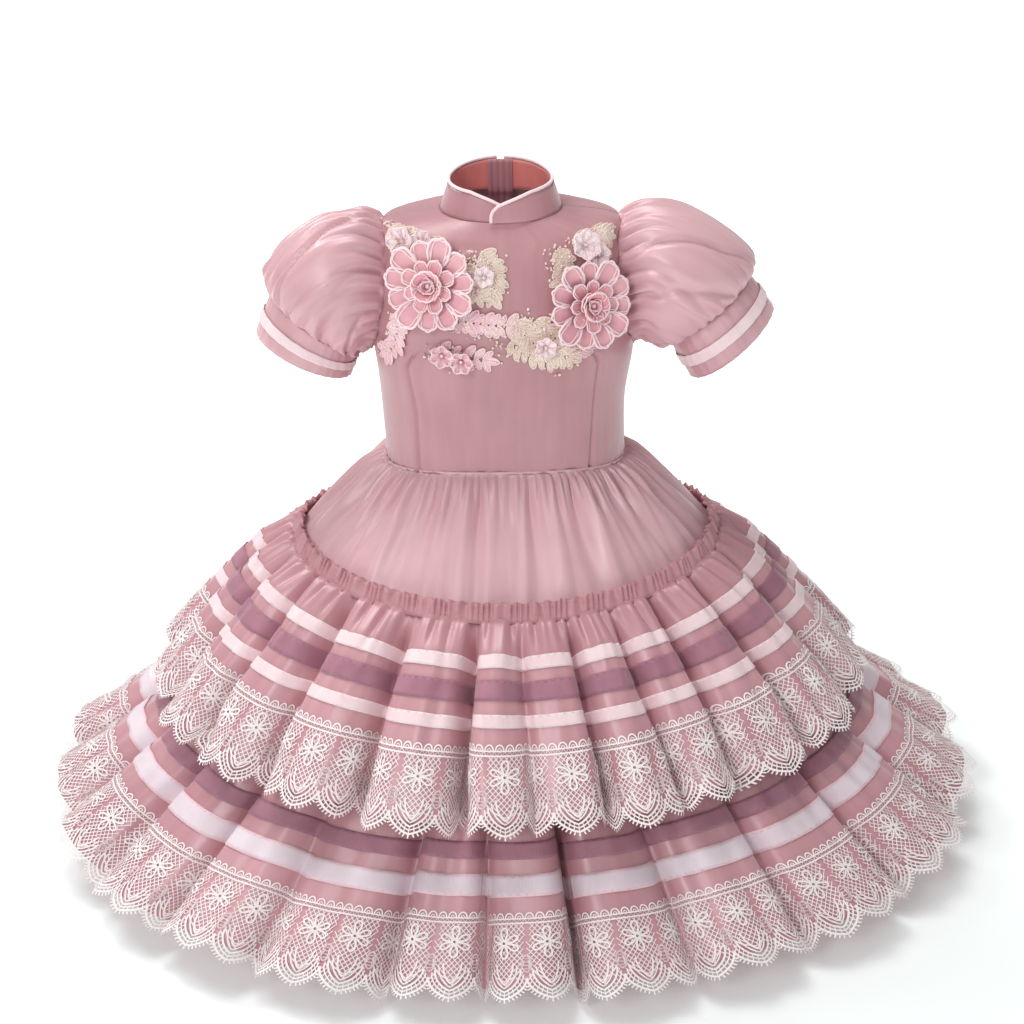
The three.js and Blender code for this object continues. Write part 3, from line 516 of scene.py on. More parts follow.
def thread(name, light, dark, roughness=0.75):
    """Cords and embroidery: the UV's second number runs across a thread, so that a flat strip looks round."""
    material, tree, shader = new_material(name, roughness, Sheen_Weight=0.3, Sheen_Roughness=0.5,
                                          Specular_IOR_Level=0.3)
    patches(tree, shader, light, dark, 60.0)
    along, across = along_and_up(tree)
    side = maths(tree, "SUBTRACT", maths(tree, "MULTIPLY", across, 2.0), 1.0)
    left_over = maths(tree, "SUBTRACT", 1.0, maths(tree, "MULTIPLY", side, side))
    rounded = maths(tree, "SQRT", maths(tree, "MAXIMUM", left_over, 0.0))
    slant = maths(tree, "ADD", maths(tree, "MULTIPLY", along, 9000.0), maths(tree, "MULTIPLY", side, 2.0))
    twist = maths(tree, "MULTIPLY", maths(tree, "SINE", slant), 0.12)
    height = maths(tree, "ADD", rounded, twist)
    tree.links.new(relief(tree, height, 0.3, 0.0003), shader.inputs["Normal"])
    return material


ROSE = satin("rose_satin", paint(226, 180, 185), paint(202, 154, 161))
# painted shade: the flounces get a copy of the satin painted darker, for the shade in their deep folds
SATIN_PAINTED_FOLD_SHADE = satin("rose_satin_in_folds", paint(212, 160, 167), paint(190, 136, 144))
# painted shade: the bodice and collar get a copy of the satin painted a tone darker, for the dimmer light on the
# front
SATIN_PAINTED_SHADE = satin("rose_satin_close_fitting", paint(196, 144, 150), paint(176, 123, 130))
# painted highlight: the first tier gets a copy of the satin painted lighter, for the sheen of the light from above
# on its slope
SATIN_PAINTED_HIGHLIGHT = satin("rose_satin_over_the_hips", paint(234, 190, 195), paint(209, 164, 171))
# painted shade: the frill gets a copy of the satin painted darker, for the shade in its crimps
FRILL_PAINTED_SHADE = satin("rose_satin_frill", paint(212, 160, 166), paint(186, 132, 139), 0.5, 0.2, shine=0.5)
LINING = satin("collar_facing", paint(244, 150, 144), paint(228, 126, 122), 0.5)
PALE = ribbon_cloth("pale_ribbon", paint(250, 226, 229), paint(242, 212, 217), paint(253, 236, 238))
MAUVE = ribbon_cloth("mauve_ribbon", paint(182, 128, 145), paint(162, 110, 128), paint(172, 119, 137))
WHITE = ribbon_cloth("white_ribbon", paint(240, 226, 233), paint(230, 211, 221), paint(250, 212, 221))
RIBBON_FINISHES = {"pale": PALE, "mauve": MAUVE, "white": WHITE}
LACE = thread("white_lace", paint(255, 248, 247), paint(249, 236, 236))
PETAL = satin("petal_organza", paint(246, 196, 203), paint(226, 160, 171), 0.6, weave=900.0, shine=0.4)
HEART = satin("heart_organza", paint(243, 174, 184), paint(226, 144, 158), 0.55, weave=900.0, shine=0.5)
CORD = thread("petal_cord", paint(255, 234, 237), paint(250, 218, 223))
CREAM = thread("cream_embroidery", paint(248, 232, 220), paint(226, 202, 188))
PINK_THREAD = thread("pink_embroidery", paint(252, 222, 227), paint(242, 196, 205))
TAPE = satin("zip_tape_cloth", paint(206, 152, 160), paint(186, 130, 140), 0.8, 0.1, weave=900.0, shine=0.3)
# painted light: the facing glows a little, so that its shaded inside looks brighter
lining_shader = LINING.node_tree.nodes["Principled BSDF"]
lining_shader.inputs["Emission Color"].default_value = paint(236, 140, 136)
lining_shader.inputs["Emission Strength"].default_value = 0.07
print("finishes", len(bpy.data.materials))

# %% [markdown]
# ## Pearls, crystals and metal
# Pearls are glazed beads with a soft glow, crystals are clear cut glass, and the zip's slider is plated metal
# with fine scratches. They are small, so their finish is mostly gloss.


# %% Hard finishes
def hard(name, light, dark, roughness, **sockets):
    material, tree, shader = new_material(name, roughness, **sockets)
    patches(tree, shader, light, dark, 400.0)
    tree.links.new(relief(tree, noise(tree, 900.0, 2.0), 0.1, 0.0001), shader.inputs["Normal"])
    return material


PEARL = hard("pearl", paint(250, 226, 228), paint(240, 208, 214), 0.22, Coat_Weight=0.6)
CRYSTAL = hard("crystal", paint(252, 236, 240), paint(226, 196, 208), 0.06, Coat_Weight=1.0)
METAL = hard("plated_metal", paint(196, 192, 190), paint(170, 164, 162), 0.32, Metallic=1.0)
COIL = hard("zip_coil", paint(214, 158, 166), paint(198, 140, 150), 0.45)

# %% [markdown]
# ## Bodice
# The front is one panel with two darts, and the back is two panels beside the zip. The table's rows are joined
# by a smooth curve, so the chest has no bend at a row. A dart is a sewn line that pulls the cloth in.


# %% Bodice panels
DART = 0.445  # share of the way from the centre front to the side


def neighbours(table, place):
    """The share of the way from one row to the next, and the four rows around a place in a table."""
    place = np.clip(np.asarray(place, float), 0, len(table) - 1)
    low = np.clip(np.floor(place).astype(int), 0, len(table) - 2)
    t = (place - low).reshape(place.shape + (1,) * (table.ndim - 1))
    return t, *(table[np.clip(low + k, 0, len(table) - 1)] for k in (-1, 0, 1, 2))


def smooth(t, before, here, there, after):
    """A smooth curve through the middle two of four rows."""
    return here + 0.5 * t * (there - before + t * (2 * before - 5 * here + 4 * there - after
                                                   + t * (3 * (here - there) + after - before)))


def smooth_rows(row):
    """The torso's table at any row. Its last column, how open the armhole is, changes evenly."""
    t, *four = neighbours(TORSO, row)
    is_open = np.clip(lerp(four[1], four[2], t)[..., 5:], 0, 1)
    return np.concatenate([smooth(t, *four)[..., :5], is_open], axis=-1)


def bodice_point(share, row, is_back=False, lift=0.0):
    """A point of the bodice at a share of the way from its centre to its side, and a row of the table."""
    share, row = np.broadcast_arrays(np.asarray(share, float), np.asarray(row, float))
    wide, deep, front, side, back, is_open = np.moveaxis(smooth_rows(row), -1, 0)
    plain = (90 - ARMHOLE * is_open) * share
    degrees = 180 - plain if is_back else plain
    x, y = section(wide, deep, degrees, ROUND)
    z = lerp(back if is_back else front, side, np.sin(np.radians(degrees)) ** 2)
    y = np.maximum(y, 0.2) if is_back else np.minimum(y, -0.2)
    out = unit(np.stack([x / wide, y / deep, np.clip((row - 5) * 0.35, 0, 2)], axis=-1))
    return np.stack([x, y, z], axis=-1) + out * np.asarray(lift)[..., None]


def bodice_relief(share, row, is_back):
    """Darts and soft pulls, in millimetres."""
    dart = np.zeros_like(share * row)
    for side in (-1, 1):
        away = (share - side * (DART + 0.012 * row)) * 95
        length = np.clip((2.9 - row) / 0.6, 0, 1) * (not is_back)
        sides = 0.9 * np.exp(-(((np.abs(away) - 3.6) / 3.2) ** 2))
        dart += length * (sides - 1.8 * np.exp(-((away / 1.1) ** 2)))
    pulls = 0.8 * np.sin(9 * share + 3.2 * row + 1.4 * np.sin(4 * share)) * np.exp(-((row - 1.2) / 1.6) ** 2)
    waist = 0.5 * np.exp(-((row / 0.25) ** 2)) * np.sin(70 * share + 3 * np.sin(9 * share))
    arm = 0.7 * np.exp(-(((1 - np.abs(share)) / 0.16) ** 2)) * np.sin(7 * row + 2) * (row > 2.2) * (row < 7)
    return dart + pulls + waist + arm


def bodice_panel(start, end, is_back, rows=74, columns=96):
    """start and end are shares, or functions of the row for an edge that isn't straight."""
    row = np.linspace(0, len(TORSO) - 1, rows)[:, None]
    first, last = (edge(row) if callable(edge) else edge for edge in (start, end))
    spread = np.linspace(0, 1, columns)
    if not is_back:
        near_darts = [0.5 + side * (DART + k * 0.0045) / 2 for side in (-1, 1) for k in range(-6, 13)]
        spread = np.sort(np.concatenate([spread, near_darts]))
    share = lerp(first, last, spread[None, :])
    return bodice_point(share, row, is_back, bodice_relief(share, row, is_back))


def zip_edge(side):
    """The share of a back panel's edge beside the zip, at any row."""
    def share(row):
        value = smooth_rows(row)
        wide, is_open = value[..., 0], value[..., 5]
        return side * np.degrees((ZIP_GAP / wide) ** (ROUND / 2)) / (90 - ARMHOLE * is_open)
    return share


front = cloth("satin_bodice_front", bodice_panel(-1, 1, False))
finish(front, ["bodice_front"], [SATIN_PAINTED_SHADE])
for side, name in ((1, "left"), (-1, "right")):
    start, end = (1, zip_edge(1)) if side > 0 else (zip_edge(-1), -1)
    panel = cloth(f"satin_bodice_back_{name}", bodice_panel(start, end, True, columns=56))
    finish(panel, [f"bodice_back_{name}"], [SATIN_PAINTED_SHADE])
print("bodice", len(front.data.polygons), "faces")

# %% [markdown]
# ## Stand collar
# Two stiffened halves lap at the front, the wearer's left one on top. Their top edge dips in a curve to the
# lap. The wrong side is faced in a warmer pink, so it has its own finish. A bound cord runs round the edge.


# %% Collar halves and their piping
def collar_half(side, columns=80, rows=9):
    over = side > 0
    lap = -COLLAR_LAP if over else -COLLAR_LAP * 0.6
    degrees = lerp(lap, COLLAR_BACK_END, np.linspace(0, 1, columns) ** 1.5)
    cosine = np.cos(np.radians(degrees))
    tall = lerp(COLLAR["side"], np.where(cosine > 0, COLLAR["front"], COLLAR["back"]), cosine**2)
    rise = np.clip((degrees - lap) / COLLAR_CURVE, 0.02, 1) ** 0.25
    stand = COLLAR_OVER * np.maximum(0, 1 - np.maximum(0, degrees - COLLAR_LAP) / 40) * over
    _, _, front_z, side_z, back_z, _ = TORSO[-1]
    foot_z = lerp(np.where(cosine > 0, front_z, back_z), side_z, np.sin(np.radians(degrees)) ** 2) + 0.35
    share = np.linspace(0, 1, rows)[:, None]
    flare = 1.2 * np.exp(-(((degrees - 180) / 14) ** 2)) * share**3
    wide = lerp(COLLAR["base"][0], lerp(COLLAR["base"][0], COLLAR["top"][0], rise), share) + stand + flare
    deep = lerp(COLLAR["base"][1], lerp(COLLAR["base"][1], COLLAR["top"][1], rise), share) + stand + flare
    x, y = section(wide, deep, degrees, ROUND)
    grid = np.stack([x * side, y, foot_z + tall * rise * share], axis=-1)
    return grid if side > 0 else grid[:, ::-1]


def tube(name, path, radius, sides=8):
    """A cord along a path, with closed ends."""
    path = np.asarray(path, float)
    along = unit(np.gradient(path, axis=0))
    up = unit(np.cross(np.cross(along, (0, 0, 1.0)), along) + 1e-6)
    right = np.cross(along, up)
    turn = np.linspace(0, 2 * math.pi, sides, endpoint=False)
    aside, above = np.cos(turn)[:, None] * right[:, None], np.sin(turn)[:, None] * up[:, None]
    rings = path[:, None] + radius * (aside + above)
    place = np.arange(len(path) * sides).reshape(len(path), sides)
    after = np.roll(place, -1, axis=1)
    faces = np.stack([place[:-1], after[:-1], after[1:], place[1:]], -1).reshape(-1, 4).tolist()
    faces += [place[0][::-1].tolist(), place[-1].tolist()]
    u = far_along(path) * MM
    uv = np.stack([np.repeat(u, sides), np.tile(np.linspace(0, 1, sides), len(path))], -1)
    corners = [uv[k] for face in faces for k in face]
    return turned_out(mesh_object(name, rings.reshape(-1, 3), faces, corners))


def smoothed(path, times):
    """A path with its corners rounded and its ends kept."""
    for _ in range(times):
        path[1:-1] = (path[:-2] + 2 * path[1:-1] + path[2:]) / 4
    return path


for side, name in ((1, "left"), (-1, "right")):
    grid = collar_half(side)
    half = cloth(f"satin_collar_{name}", grid, 1.8, two_finishes=True)
    finish(half, [f"collar_{name}"], [SATIN_PAINTED_SHADE, LINING])
    edge = grid[-1] * (0.985, 0.985, 1) + (0, 0, 1.3)
    if side > 0:
        down_front = grid[:-1, 0] * (0.985, 0.985, 1) - (1.1, 0.4, 0)
        edge = smoothed(np.vstack([down_front, edge]), 4)
    cord = tube(f"collar_cord_{name}", edge, 1.35)
    finish(cord, [f"collar_piping_{name}"], [CORD])
print("collar", np.round(collar_half(1)[-1, 0], 1).tolist())

# %% [markdown]
# ## Puff sleeves and cuffs
# A sleeve is wider than its armhole and cuff, so both of its edges are gathered and the cloth stands out in a
# puff. The gathers are narrow grooves at the edges and open into soft swells in the middle.


# %% Sleeves
def armhole_edge(side, count):
    """The armhole's edge on one side, from its top round by the front."""
    low, high = ARMHOLE_ROWS
    rows = np.linspace(low, high, 60)
    front_edge = bodice_point(side, rows[::-1], False)
    back_edge = bodice_point(side, rows, True)
    loop = np.concatenate([front_edge, back_edge[1:-1]])
    loop[:, 0] += side * 0.7
    loop = np.vstack([loop, loop[:1]])
    far = far_along(loop)
    return at_distances(loop, far, np.linspace(0, far[-1], count))


def sleeve_ring(row, side, turn):
    top_out, top_up, low_out, low_up, deep = row
    top, low = np.array([top_out, 0, top_up], float), np.array([low_out, 0, low_up], float)
    middle, half = (top + low) / 2, (top - low) / 2
    points = middle + np.cos(turn)[:, None] * half
    points[:, 1] = -deep * np.sin(turn)
    points[:, 0] *= side
    return points


def curve_through(rings, shares):
    """Rings at any share of the way along a smooth curve through the given rings."""
    return smooth(*neighbours(np.asarray(rings), shares * (len(rings) - 1)))


def puff(spec, rows=46, columns=209):
    side = spec["side"]
    turn = np.linspace(0, 2 * math.pi, columns)
    rings = [armhole_edge(side, columns)] + [sleeve_ring(row, side, turn) for row in spec["puff"]]
    shares = np.linspace(0, 1, rows)
    grid = curve_through(rings, shares)
    middle = grid[:, :-1].mean(axis=1, keepdims=True)
    degrees = np.degrees(turn)[None, :]
    share = shares[:, None]
    reach = 0.17 + 0.17 * (0.5 + 0.5 * ripple(degrees, 11, side))
    ends = np.exp(-((share / reach) ** 2)) + np.exp(-(((1 - share) / reach) ** 2))
    tight = 3.0 * grooves(degrees, 25, 0.7 * side) + 0.8 * ripple(degrees, 53, 2.0 + side)
    swell = np.sin(np.pi * share) ** 0.7
    slant = ripple(degrees + side * 60 * share, 6, 1.0 + side)
    crease = -6.0 * np.clip(slant - 0.2, 0, 1) ** 1.5 + 1.4 * ripple(degrees - 30 * share, 9, 2.0)
    lift = tight * ends + crease * swell
    lift = lift * np.clip(share / 0.03, 0.05, 1) * np.clip((1 - share) / 0.03, 0.2, 1)
    grid = grid + unit(grid - middle) * lift[..., None]
    # one more ring reaches into the bodice, so no gap shows at the seam
    inner = middle[0] + (grid[0] - middle[0]) * 0.965 - (side * 2.4, 0, 0)
    grid = np.concatenate([inner[None], grid])
    return grid[::-1, ::-1] if side > 0 else grid[::-1]


def cuff_grid(spec, shares, lift=0.0, columns=109):
    turn = np.linspace(0, 2 * math.pi, columns)
    ends = [sleeve_ring(row, spec["side"], turn) for row in spec["cuff"]]
    grid = np.array([lerp(ends[0], ends[1], t) for t in shares])
    middle = grid[:, :-1].mean(axis=1, keepdims=True)
    waves = 0.35 * ripple(np.degrees(turn), 26, spec["side"])[None, :]
    grid = grid + unit(grid - middle) * (lift + waves)[..., None]
    return grid[::-1, ::-1] if spec["side"] > 0 else grid[::-1]


def mark_edges(made, share=0.14):
    """Writes how near each point is to the ribbon's two edges, for its edge tone."""
    mesh = made.data
    uv = np.zeros(len(mesh.loops) * 2, np.float32)
    mesh.uv_layers["cloth"].data.foreach_get("uv", uv)
    corner = np.zeros(len(mesh.loops), np.int32)
    mesh.loops.foreach_get("vertex_index", corner)
    up = uv[1::2] / uv[1::2].max()
    value = np.zeros(len(mesh.vertices), np.float32)
    value[corner] = (np.abs(up - 0.5) > 0.5 - share).astype(np.float32)
    mesh.attributes.new("edge", "FLOAT", "POINT").data.foreach_set("value", value)
    return made


for name, spec in SLEEVES.items():
    sleeve = cloth(f"satin_sleeve_{name}", puff(spec), closed=True)
    finish(sleeve, [f"sleeve_{name}"], [ROSE])
    cuff = cloth(f"satin_cuff_{name}", cuff_grid(spec, np.linspace(0, 1, 14)), closed=True)
    finish(cuff, [f"cuff_{name}"], [ROSE])
    band = cloth(f"ribbon_cuff_{name}", cuff_grid(spec, np.linspace(0.42, 0.68, 8), 1.5), 0.6, closed=True)
    finish(mark_edges(band), [f"cuff_ribbon_{name}"], [PALE])
print("sleeves and cuffs made")

# %% [markdown]
# ## Skirt tiers
# The first tier is gathered into the waist. Both flounces hang from its hem: each is a straight strip of cloth,
# gathered at the top, so its lower edge has to fall in folds. Each is cut as a front and a back.


# %% Skirt panels
YOKE_TUCK = -0.035  # how far the first tier goes up behind the bodice's edge
YOKE_ROWS, YOKE_COLUMNS = 38, 150  # its rows, and the columns of a quarter of its round
ZIP_END, ZIP_CLOSES = 0.31, 0.08  # where the slit for the zip ends, and over how much it closes


def skirt_panel(surface, low, high, start, end, rows, columns):
    """A panel of a tier. An edge at the centre back stays just beside the middle."""
    grid = grid_of(surface, low, high, rows, start, end, columns)
    for column, degrees in ((0, start), (-1, end)):
        if degrees == 180:
            grid[:, column, 0] = math.copysign(0.2, grid[0, column - 1 if column else 1, 0])
    return grid


def yoke_back(side):
    """A back panel of the first tier, whose edge runs beside the zip down to the zip's end."""
    start, end = (90, 180) if side > 0 else (180, 270)
    grid = grid_of(yoke_point, 1, YOKE_TUCK, YOKE_ROWS, start, end, YOKE_COLUMNS)
    at = np.linspace(1, YOKE_TUCK, YOKE_ROWS)
    gap = np.clip((ZIP_END - at) / ZIP_CLOSES, 0, 1) * ZIP_GAP + 0.2
    edge = YOKE_COLUMNS - 1 if side > 0 else 0
    fade = np.clip(1 - np.abs(np.arange(YOKE_COLUMNS) - edge) / 8, 0, 1)
    grid[..., 0] += side * gap[:, None] * fade[None, :]
    return grid


yoke = cloth("satin_yoke_front", skirt_panel(yoke_point, 1, YOKE_TUCK, -90, 90, YOKE_ROWS, 2 * YOKE_COLUMNS))
finish(yoke, ["yoke_front"], [SATIN_PAINTED_HIGHLIGHT])
for side, name in ((1, "left"), (-1, "right")):
    finish(cloth(f"satin_yoke_back_{name}", yoke_back(side)), [f"yoke_back_{name}"], [SATIN_PAINTED_HIGHLIGHT])

FLOUNCE_END = {"upper": 0.923, "lower": 0.965}
# each panel's cut, in metres
for name, rows in (("upper", 40), ("lower", 44)):
    surface = lambda at, degrees, name=name: flounce_point(name, at, degrees)
    for part, start, end in (("front", -90, 90), ("back", 90, 270)):
        grid = skirt_panel(surface, FLOUNCE_END[name], 0, start, end, rows, 360)
        panel = cloth(f"satin_{name}_flounce_{part}", grid)
        hem, drop = far_along(grid[0])[-1], far_along(grid[:, grid.shape[1] // 2])[-1]
        print(name, part, "hem", round(hem), "mm, drop", round(drop), "mm")
        finish(panel, [f"{name}_flounce_{part}"], [SATIN_PAINTED_FOLD_SHADE])

# %% [markdown]
# ## Ribbons
# Each ribbon is sewn flat on the gathered flounce, so it takes the flounce's own folds. It is the same surface
# between two heights, moved out by a little, with a thin edge that the finish picks out.

# %% Ribbons on the flounces
for name, tier, start, end, finish_name in RIBBONS:
    surface = lambda at, degrees, tier=tier: flounce_point(tier, at, degrees, 1.1)
    grid = grid_of(surface, end, start, 6, -90, 270, 721)
    band = cloth(f"band_{name}", grid, 0.6, closed=True)
    u, v = lengths(grid)
    material = RIBBON_FINISHES[finish_name]
    finish(mark_edges(band, 0.1), [name], [material])
    print(name, "is", round(u.max(), 2), "m long and", round(v.max() * 1000, 1), "mm wide")

# %% [markdown]
# ## Crimped heading
# The upper flounce's own gathered top edge stands up over the seam as a narrow frill. Its shape is a rule, a
# wave that grows towards the free edge, so Geometry Nodes push a plain band out and in along its normals.


# %% A tree that crimps a band, and helpers to build trees
def new_tree(name, inputs):
    """A Geometry Nodes tree with these inputs, and its first and last node."""
    tree = bpy.data.node_groups.new(name, "GeometryNodeTree")
    tree.interface.new_socket("Geometry", in_out="INPUT", socket_type="NodeSocketGeometry")
    for label, kind, value in inputs:
        socket = tree.interface.new_socket(label, in_out="INPUT", socket_type=f"NodeSocket{kind}")
        if value is not None:
            socket.default_value = value
    tree.interface.new_socket("Geometry", in_out="OUTPUT", socket_type="NodeSocketGeometry")
    return tree, tree.nodes.new("NodeGroupInput"), tree.nodes.new("NodeGroupOutput")


def close_tree(tree, geometry, dye, output):
    """The end of every tree: its copies are made real, and get their finish."""
    real = put(tree, "GeometryNodeRealizeInstances", {0: geometry})
    dyed = put(tree, "GeometryNodeSetMaterial", {"Geometry": real.outputs[0], "Material": dye})
    tree.links.new(dyed.outputs[0], output.inputs[0])


def keep_result(made, modifier):
    """Keeps what a modifier makes of a piece as its plain mesh, and removes the modifier."""
    result = bpy.data.meshes.new_from_object(made.evaluated_get(bpy.context.evaluated_depsgraph_get()))
    made.modifiers.remove(modifier)
    old, made.data = made.data, result
    result.name = made.name
    bpy.data.meshes.remove(old)
    return made


def run_tree(made, tree, **values):
    """Puts the tree on an object, sets its inputs by identifier, and keeps the result."""
    modifier = made.modifiers.new(tree.name, "NODES")
    modifier.node_group = tree
    for item in tree.interface.items_tree:
        if item.in_out == "INPUT" and item.name in values:
            modifier[item.identifier] = values[item.name]
    return keep_result(made, modifier)


def carrier(name, grid):
    """A plain band that remembers its outward direction, with a UV map from 0 to 1 along and down it."""
    rows, columns = grid.shape[:2]
    place = np.arange(rows * columns).reshape(rows, columns)
    faces = np.stack([place[:-1, :-1], place[:-1, 1:], place[1:, 1:], place[1:, :-1]], -1).reshape(-1, 4)
    u, v = lengths(grid)
    uv = np.stack([(u / u.max()).ravel(), (v / v.max()).ravel()], -1)
    made = mesh_object(name, grid.reshape(-1, 3), faces, uv[faces.ravel()])
    out = outward(grid, True).reshape(-1, 3)
    made.data.attributes.new("outward", "FLOAT_VECTOR", "POINT").data.foreach_set("vector", out.ravel())
    made.data.attributes.new("place", "FLOAT_VECTOR", "POINT").data.foreach_set(
        "vector", np.concatenate([uv, uv[:, :1] * 0], axis=1).astype(np.float32).ravel())
    return made


def named(tree, attribute, kind="FLOAT_VECTOR"):
    return put(tree, "GeometryNodeInputNamedAttribute", {"Name": attribute}, data_type=kind).outputs[0]


crimp, crimp_in, crimp_out = new_tree("crimp_a_band", [
    ("Waves", "Float", 190.0), ("Depth", "Float", 0.0014), ("Finish", "Material", None)])
spot = put(crimp, "ShaderNodeSeparateXYZ", {0: named(crimp, "place")})
turn = maths(crimp, "MULTIPLY", spot.outputs[0], crimp_in.outputs["Waves"])
uneven = maths(crimp, "MULTIPLY", maths(crimp, "SINE", maths(crimp, "MULTIPLY", spot.outputs[0], 213.6)), 0.45)
wave = maths(crimp, "SINE", maths(crimp, "MULTIPLY", maths(crimp, "ADD", turn, uneven), 2 * math.pi))
reach = maths(crimp, "ADD", maths(crimp, "MULTIPLY", spot.outputs[1], 0.85), 0.15)
push = maths(crimp, "MULTIPLY", maths(crimp, "MULTIPLY", wave, reach), crimp_in.outputs["Depth"])
offset = put(crimp, "ShaderNodeVectorMath", {0: named(crimp, "outward"), "Scale": push}, operation="SCALE")
moved = put(crimp, "GeometryNodeSetPosition", {"Geometry": crimp_in.outputs["Geometry"],
                                               "Offset": offset.outputs[0]})
close_tree(crimp, moved.outputs[0], crimp_in.outputs["Finish"], crimp_out)


def heading_point(rise, degrees):
    """The band that the frill is crimped from: it stands up over the seam and leans out a little."""
    rise, degrees = np.broadcast_arrays(np.asarray(rise, float), np.asarray(degrees, float))
    foot = tier_plain(UPPER, 0.0, degrees)
    up = unit(tier_plain(YOKE, 0.8, degrees) - tier_plain(YOKE, 0.95, degrees))
    turn = np.radians(degrees)
    out = np.stack([np.sin(turn), -np.cos(turn), np.zeros_like(turn)], -1)
    square = unit(np.concatenate([out[..., :2] * up[..., 2:3], -(up * out).sum(-1, keepdims=True)], -1))
    share = (rise / 12)[..., None]
    wave = (ripple(degrees, 48, 0.5) * 1.2)[..., None]
    uneven = (1 + 0.09 * ripple(degrees, 101, 1.0) * (rise > 0))[..., None]
    return foot + up * rise[..., None] * uneven + square * (1.0 + 2.4 * share + wave * share)


band = carrier("frill_heading", grid_of(heading_point, -3.5, 12.6, 6, -90, 270, 1701))
run_tree(band, crimp, Waves=170.0, Depth=0.0021, Finish=FRILL_PAINTED_SHADE)
solid = band.modifiers.new("thickness", "SOLIDIFY")
solid.thickness, solid.offset = 0.0007, 0.0
keep_result(band, solid)
finish(band, ["flounce_heading"], [FRILL_PAINTED_SHADE])
print("heading", len(band.data.polygons), "faces")

# %% [markdown]
# ## Lace
# Guipure lace is all thread: a row of loops, a narrow tape, a diagonal net round a daisy, and corded arcs that
# make the pointed scallops. One repeat is drawn flat as strips. Geometry Nodes set the repeats side by side and
# lay them on a plain band under the folds, because a sampled surface can carry any flat pattern.

# %% Draw one repeat of the lace
REPEAT, DEPTH = 34.0, 81.0  # width and height of one repeat, in mm
DAISY = (17, 28)  # its middle
LOW_TIP = 82.5  # how far the lowest strip reaches
INNER_ARCS = [
    # moved up, narrowed, width
    (0, 1.0, 1.7), (3.4, 0.87, 1.1), (6.6, 0.74, 1.5), (10.0, 0.58, 1.1), (13.2, 0.4, 1.4),
]
strips = []


def strip(points, width, lift, closed=False):
    """A flat thread along points (across, down) in millimetres, lifted off the cloth."""
    points = np.asarray(points, float)
    if closed:
        points = np.vstack([points, points[:1]])
    strips.append((points, width, lift))


def arc(x, y, wide, tall, start, end, steps):
    t = np.radians(np.linspace(start, end, steps + 1))
    return np.stack([x + wide * np.cos(t), y + tall * np.sin(t)], -1)


TONGUE = np.radians(np.linspace(-90, 90, 15))  # places round one scallop, from notch to notch


def scallop(turn, inward=0.0, narrow=1.0):
    """Points of a scallop's outline: a tongue with a soft point, moved up and made narrower for its inner arcs."""
    away = np.sin(turn)
    low = 78.6 - 18.5 * (0.7 * (1 - np.sqrt(np.maximum(1 - away**2, 0))) + 0.3 * np.abs(away))
    return np.stack([REPEAT / 2 * (1 + narrow * away), low - inward], -1)


def petal_loop(direction, long, half, width):
    """One of the daisy's petals, as a loop beside its middle."""
    t = np.linspace(0, 2 * math.pi, 12)[:-1]
    out, wide = (0.58 - 0.42 * np.cos(t)) * long, half * np.sin(t) * (0.45 + 0.55 * (0.5 - 0.5 * np.cos(t)))
    c, s = math.cos(math.radians(direction)), math.sin(math.radians(direction))
    around = np.stack([DAISY[0] + out * c - wide * s, DAISY[1] + out * s + wide * c], -1)
    strip(around, width, 0.9, closed=True)


def draw_lace():
    """The strips of one repeat: loops, tape, daisy, side ovals, net, arcs and picots."""
    for k in range(4):
        middle = (k + 0.5) * REPEAT / 4
        strip(arc(middle, 5.8, 3.4, 5.0, 180, 360, 8), 1.3, 0.6)
        strip(arc(middle, 5.8, 1.5, 2.4, 180, 360, 4), 0.8, 0.45)
    for y, width in ((6.0, 1.3), (10.0, 1.4)):
        strip([(x, y) for x in np.linspace(0, REPEAT, 9)], width, 0.65)
    strip([(x, 6.2 + 3.6 * (k % 2)) for k, x in enumerate(np.linspace(0, REPEAT, 17))], 0.8, 0.5)
    for direction in (90, 270):
        petal_loop(direction, 14.0, 3.7, 1.6)
    for direction in (28, 152, 208, 332):
        petal_loop(direction, 12.5, 3.3, 1.5)
    strip(arc(*DAISY, 2.1, 2.1, 0, 315, 7), 1.4, 1.1, closed=True)
    for shift in (0, REPEAT):
        strip(arc(shift, 47, 3.6, 7.6, 0, 360, 12)[:-1], 1.5, 0.85, closed=True)
        for y in (42.5, 45.5, 48.5, 51.5):
            strip([(shift - 2.8, y), (shift + 2.8, y)], 0.9, 0.7)
    net = 3.0
    inside = scallop(TONGUE, 12.5)
    for slope in (1, -1):
        for start in np.arange(-60, REPEAT + 60, net * 1.414):
            run = [(start + slope * (y - 10) * 0.8, y) for y in np.linspace(10, 78, 13)]
            keep = [(x, y) for x, y in run if 0 <= x <= REPEAT and y <= np.interp(x, *inside.T) + 2]
            if len(keep) > 1:
                strip(keep, 0.75, 0.35)
    for inward, narrow, width in INNER_ARCS:
        strip(scallop(TONGUE, inward, narrow), width, 0.95 - inward * 0.02)
    strip(scallop(TONGUE, 16.0, 0.9), 0.9, 0.6)
    between = np.radians(np.linspace(-78, 78, 13))
    outer, inner, inmost = scallop(between), scallop(between, 3.4, 0.87), scallop(between, 6.6, 0.74)
    for a, b, c in zip(outer, inner, inmost):
        strip([a, b], 0.8, 0.7)
        strip([b, c], 0.7, 0.65)
    for turn in np.radians(np.linspace(-72, 72, 17)):
        before, here, after = scallop(np.array([turn - 0.05, turn, turn + 0.05]))
        way = unit(np.array([before[1] - after[1], after[0] - before[0]]))
        strip([here, here + way * 3.6], 1.1, 0.6)


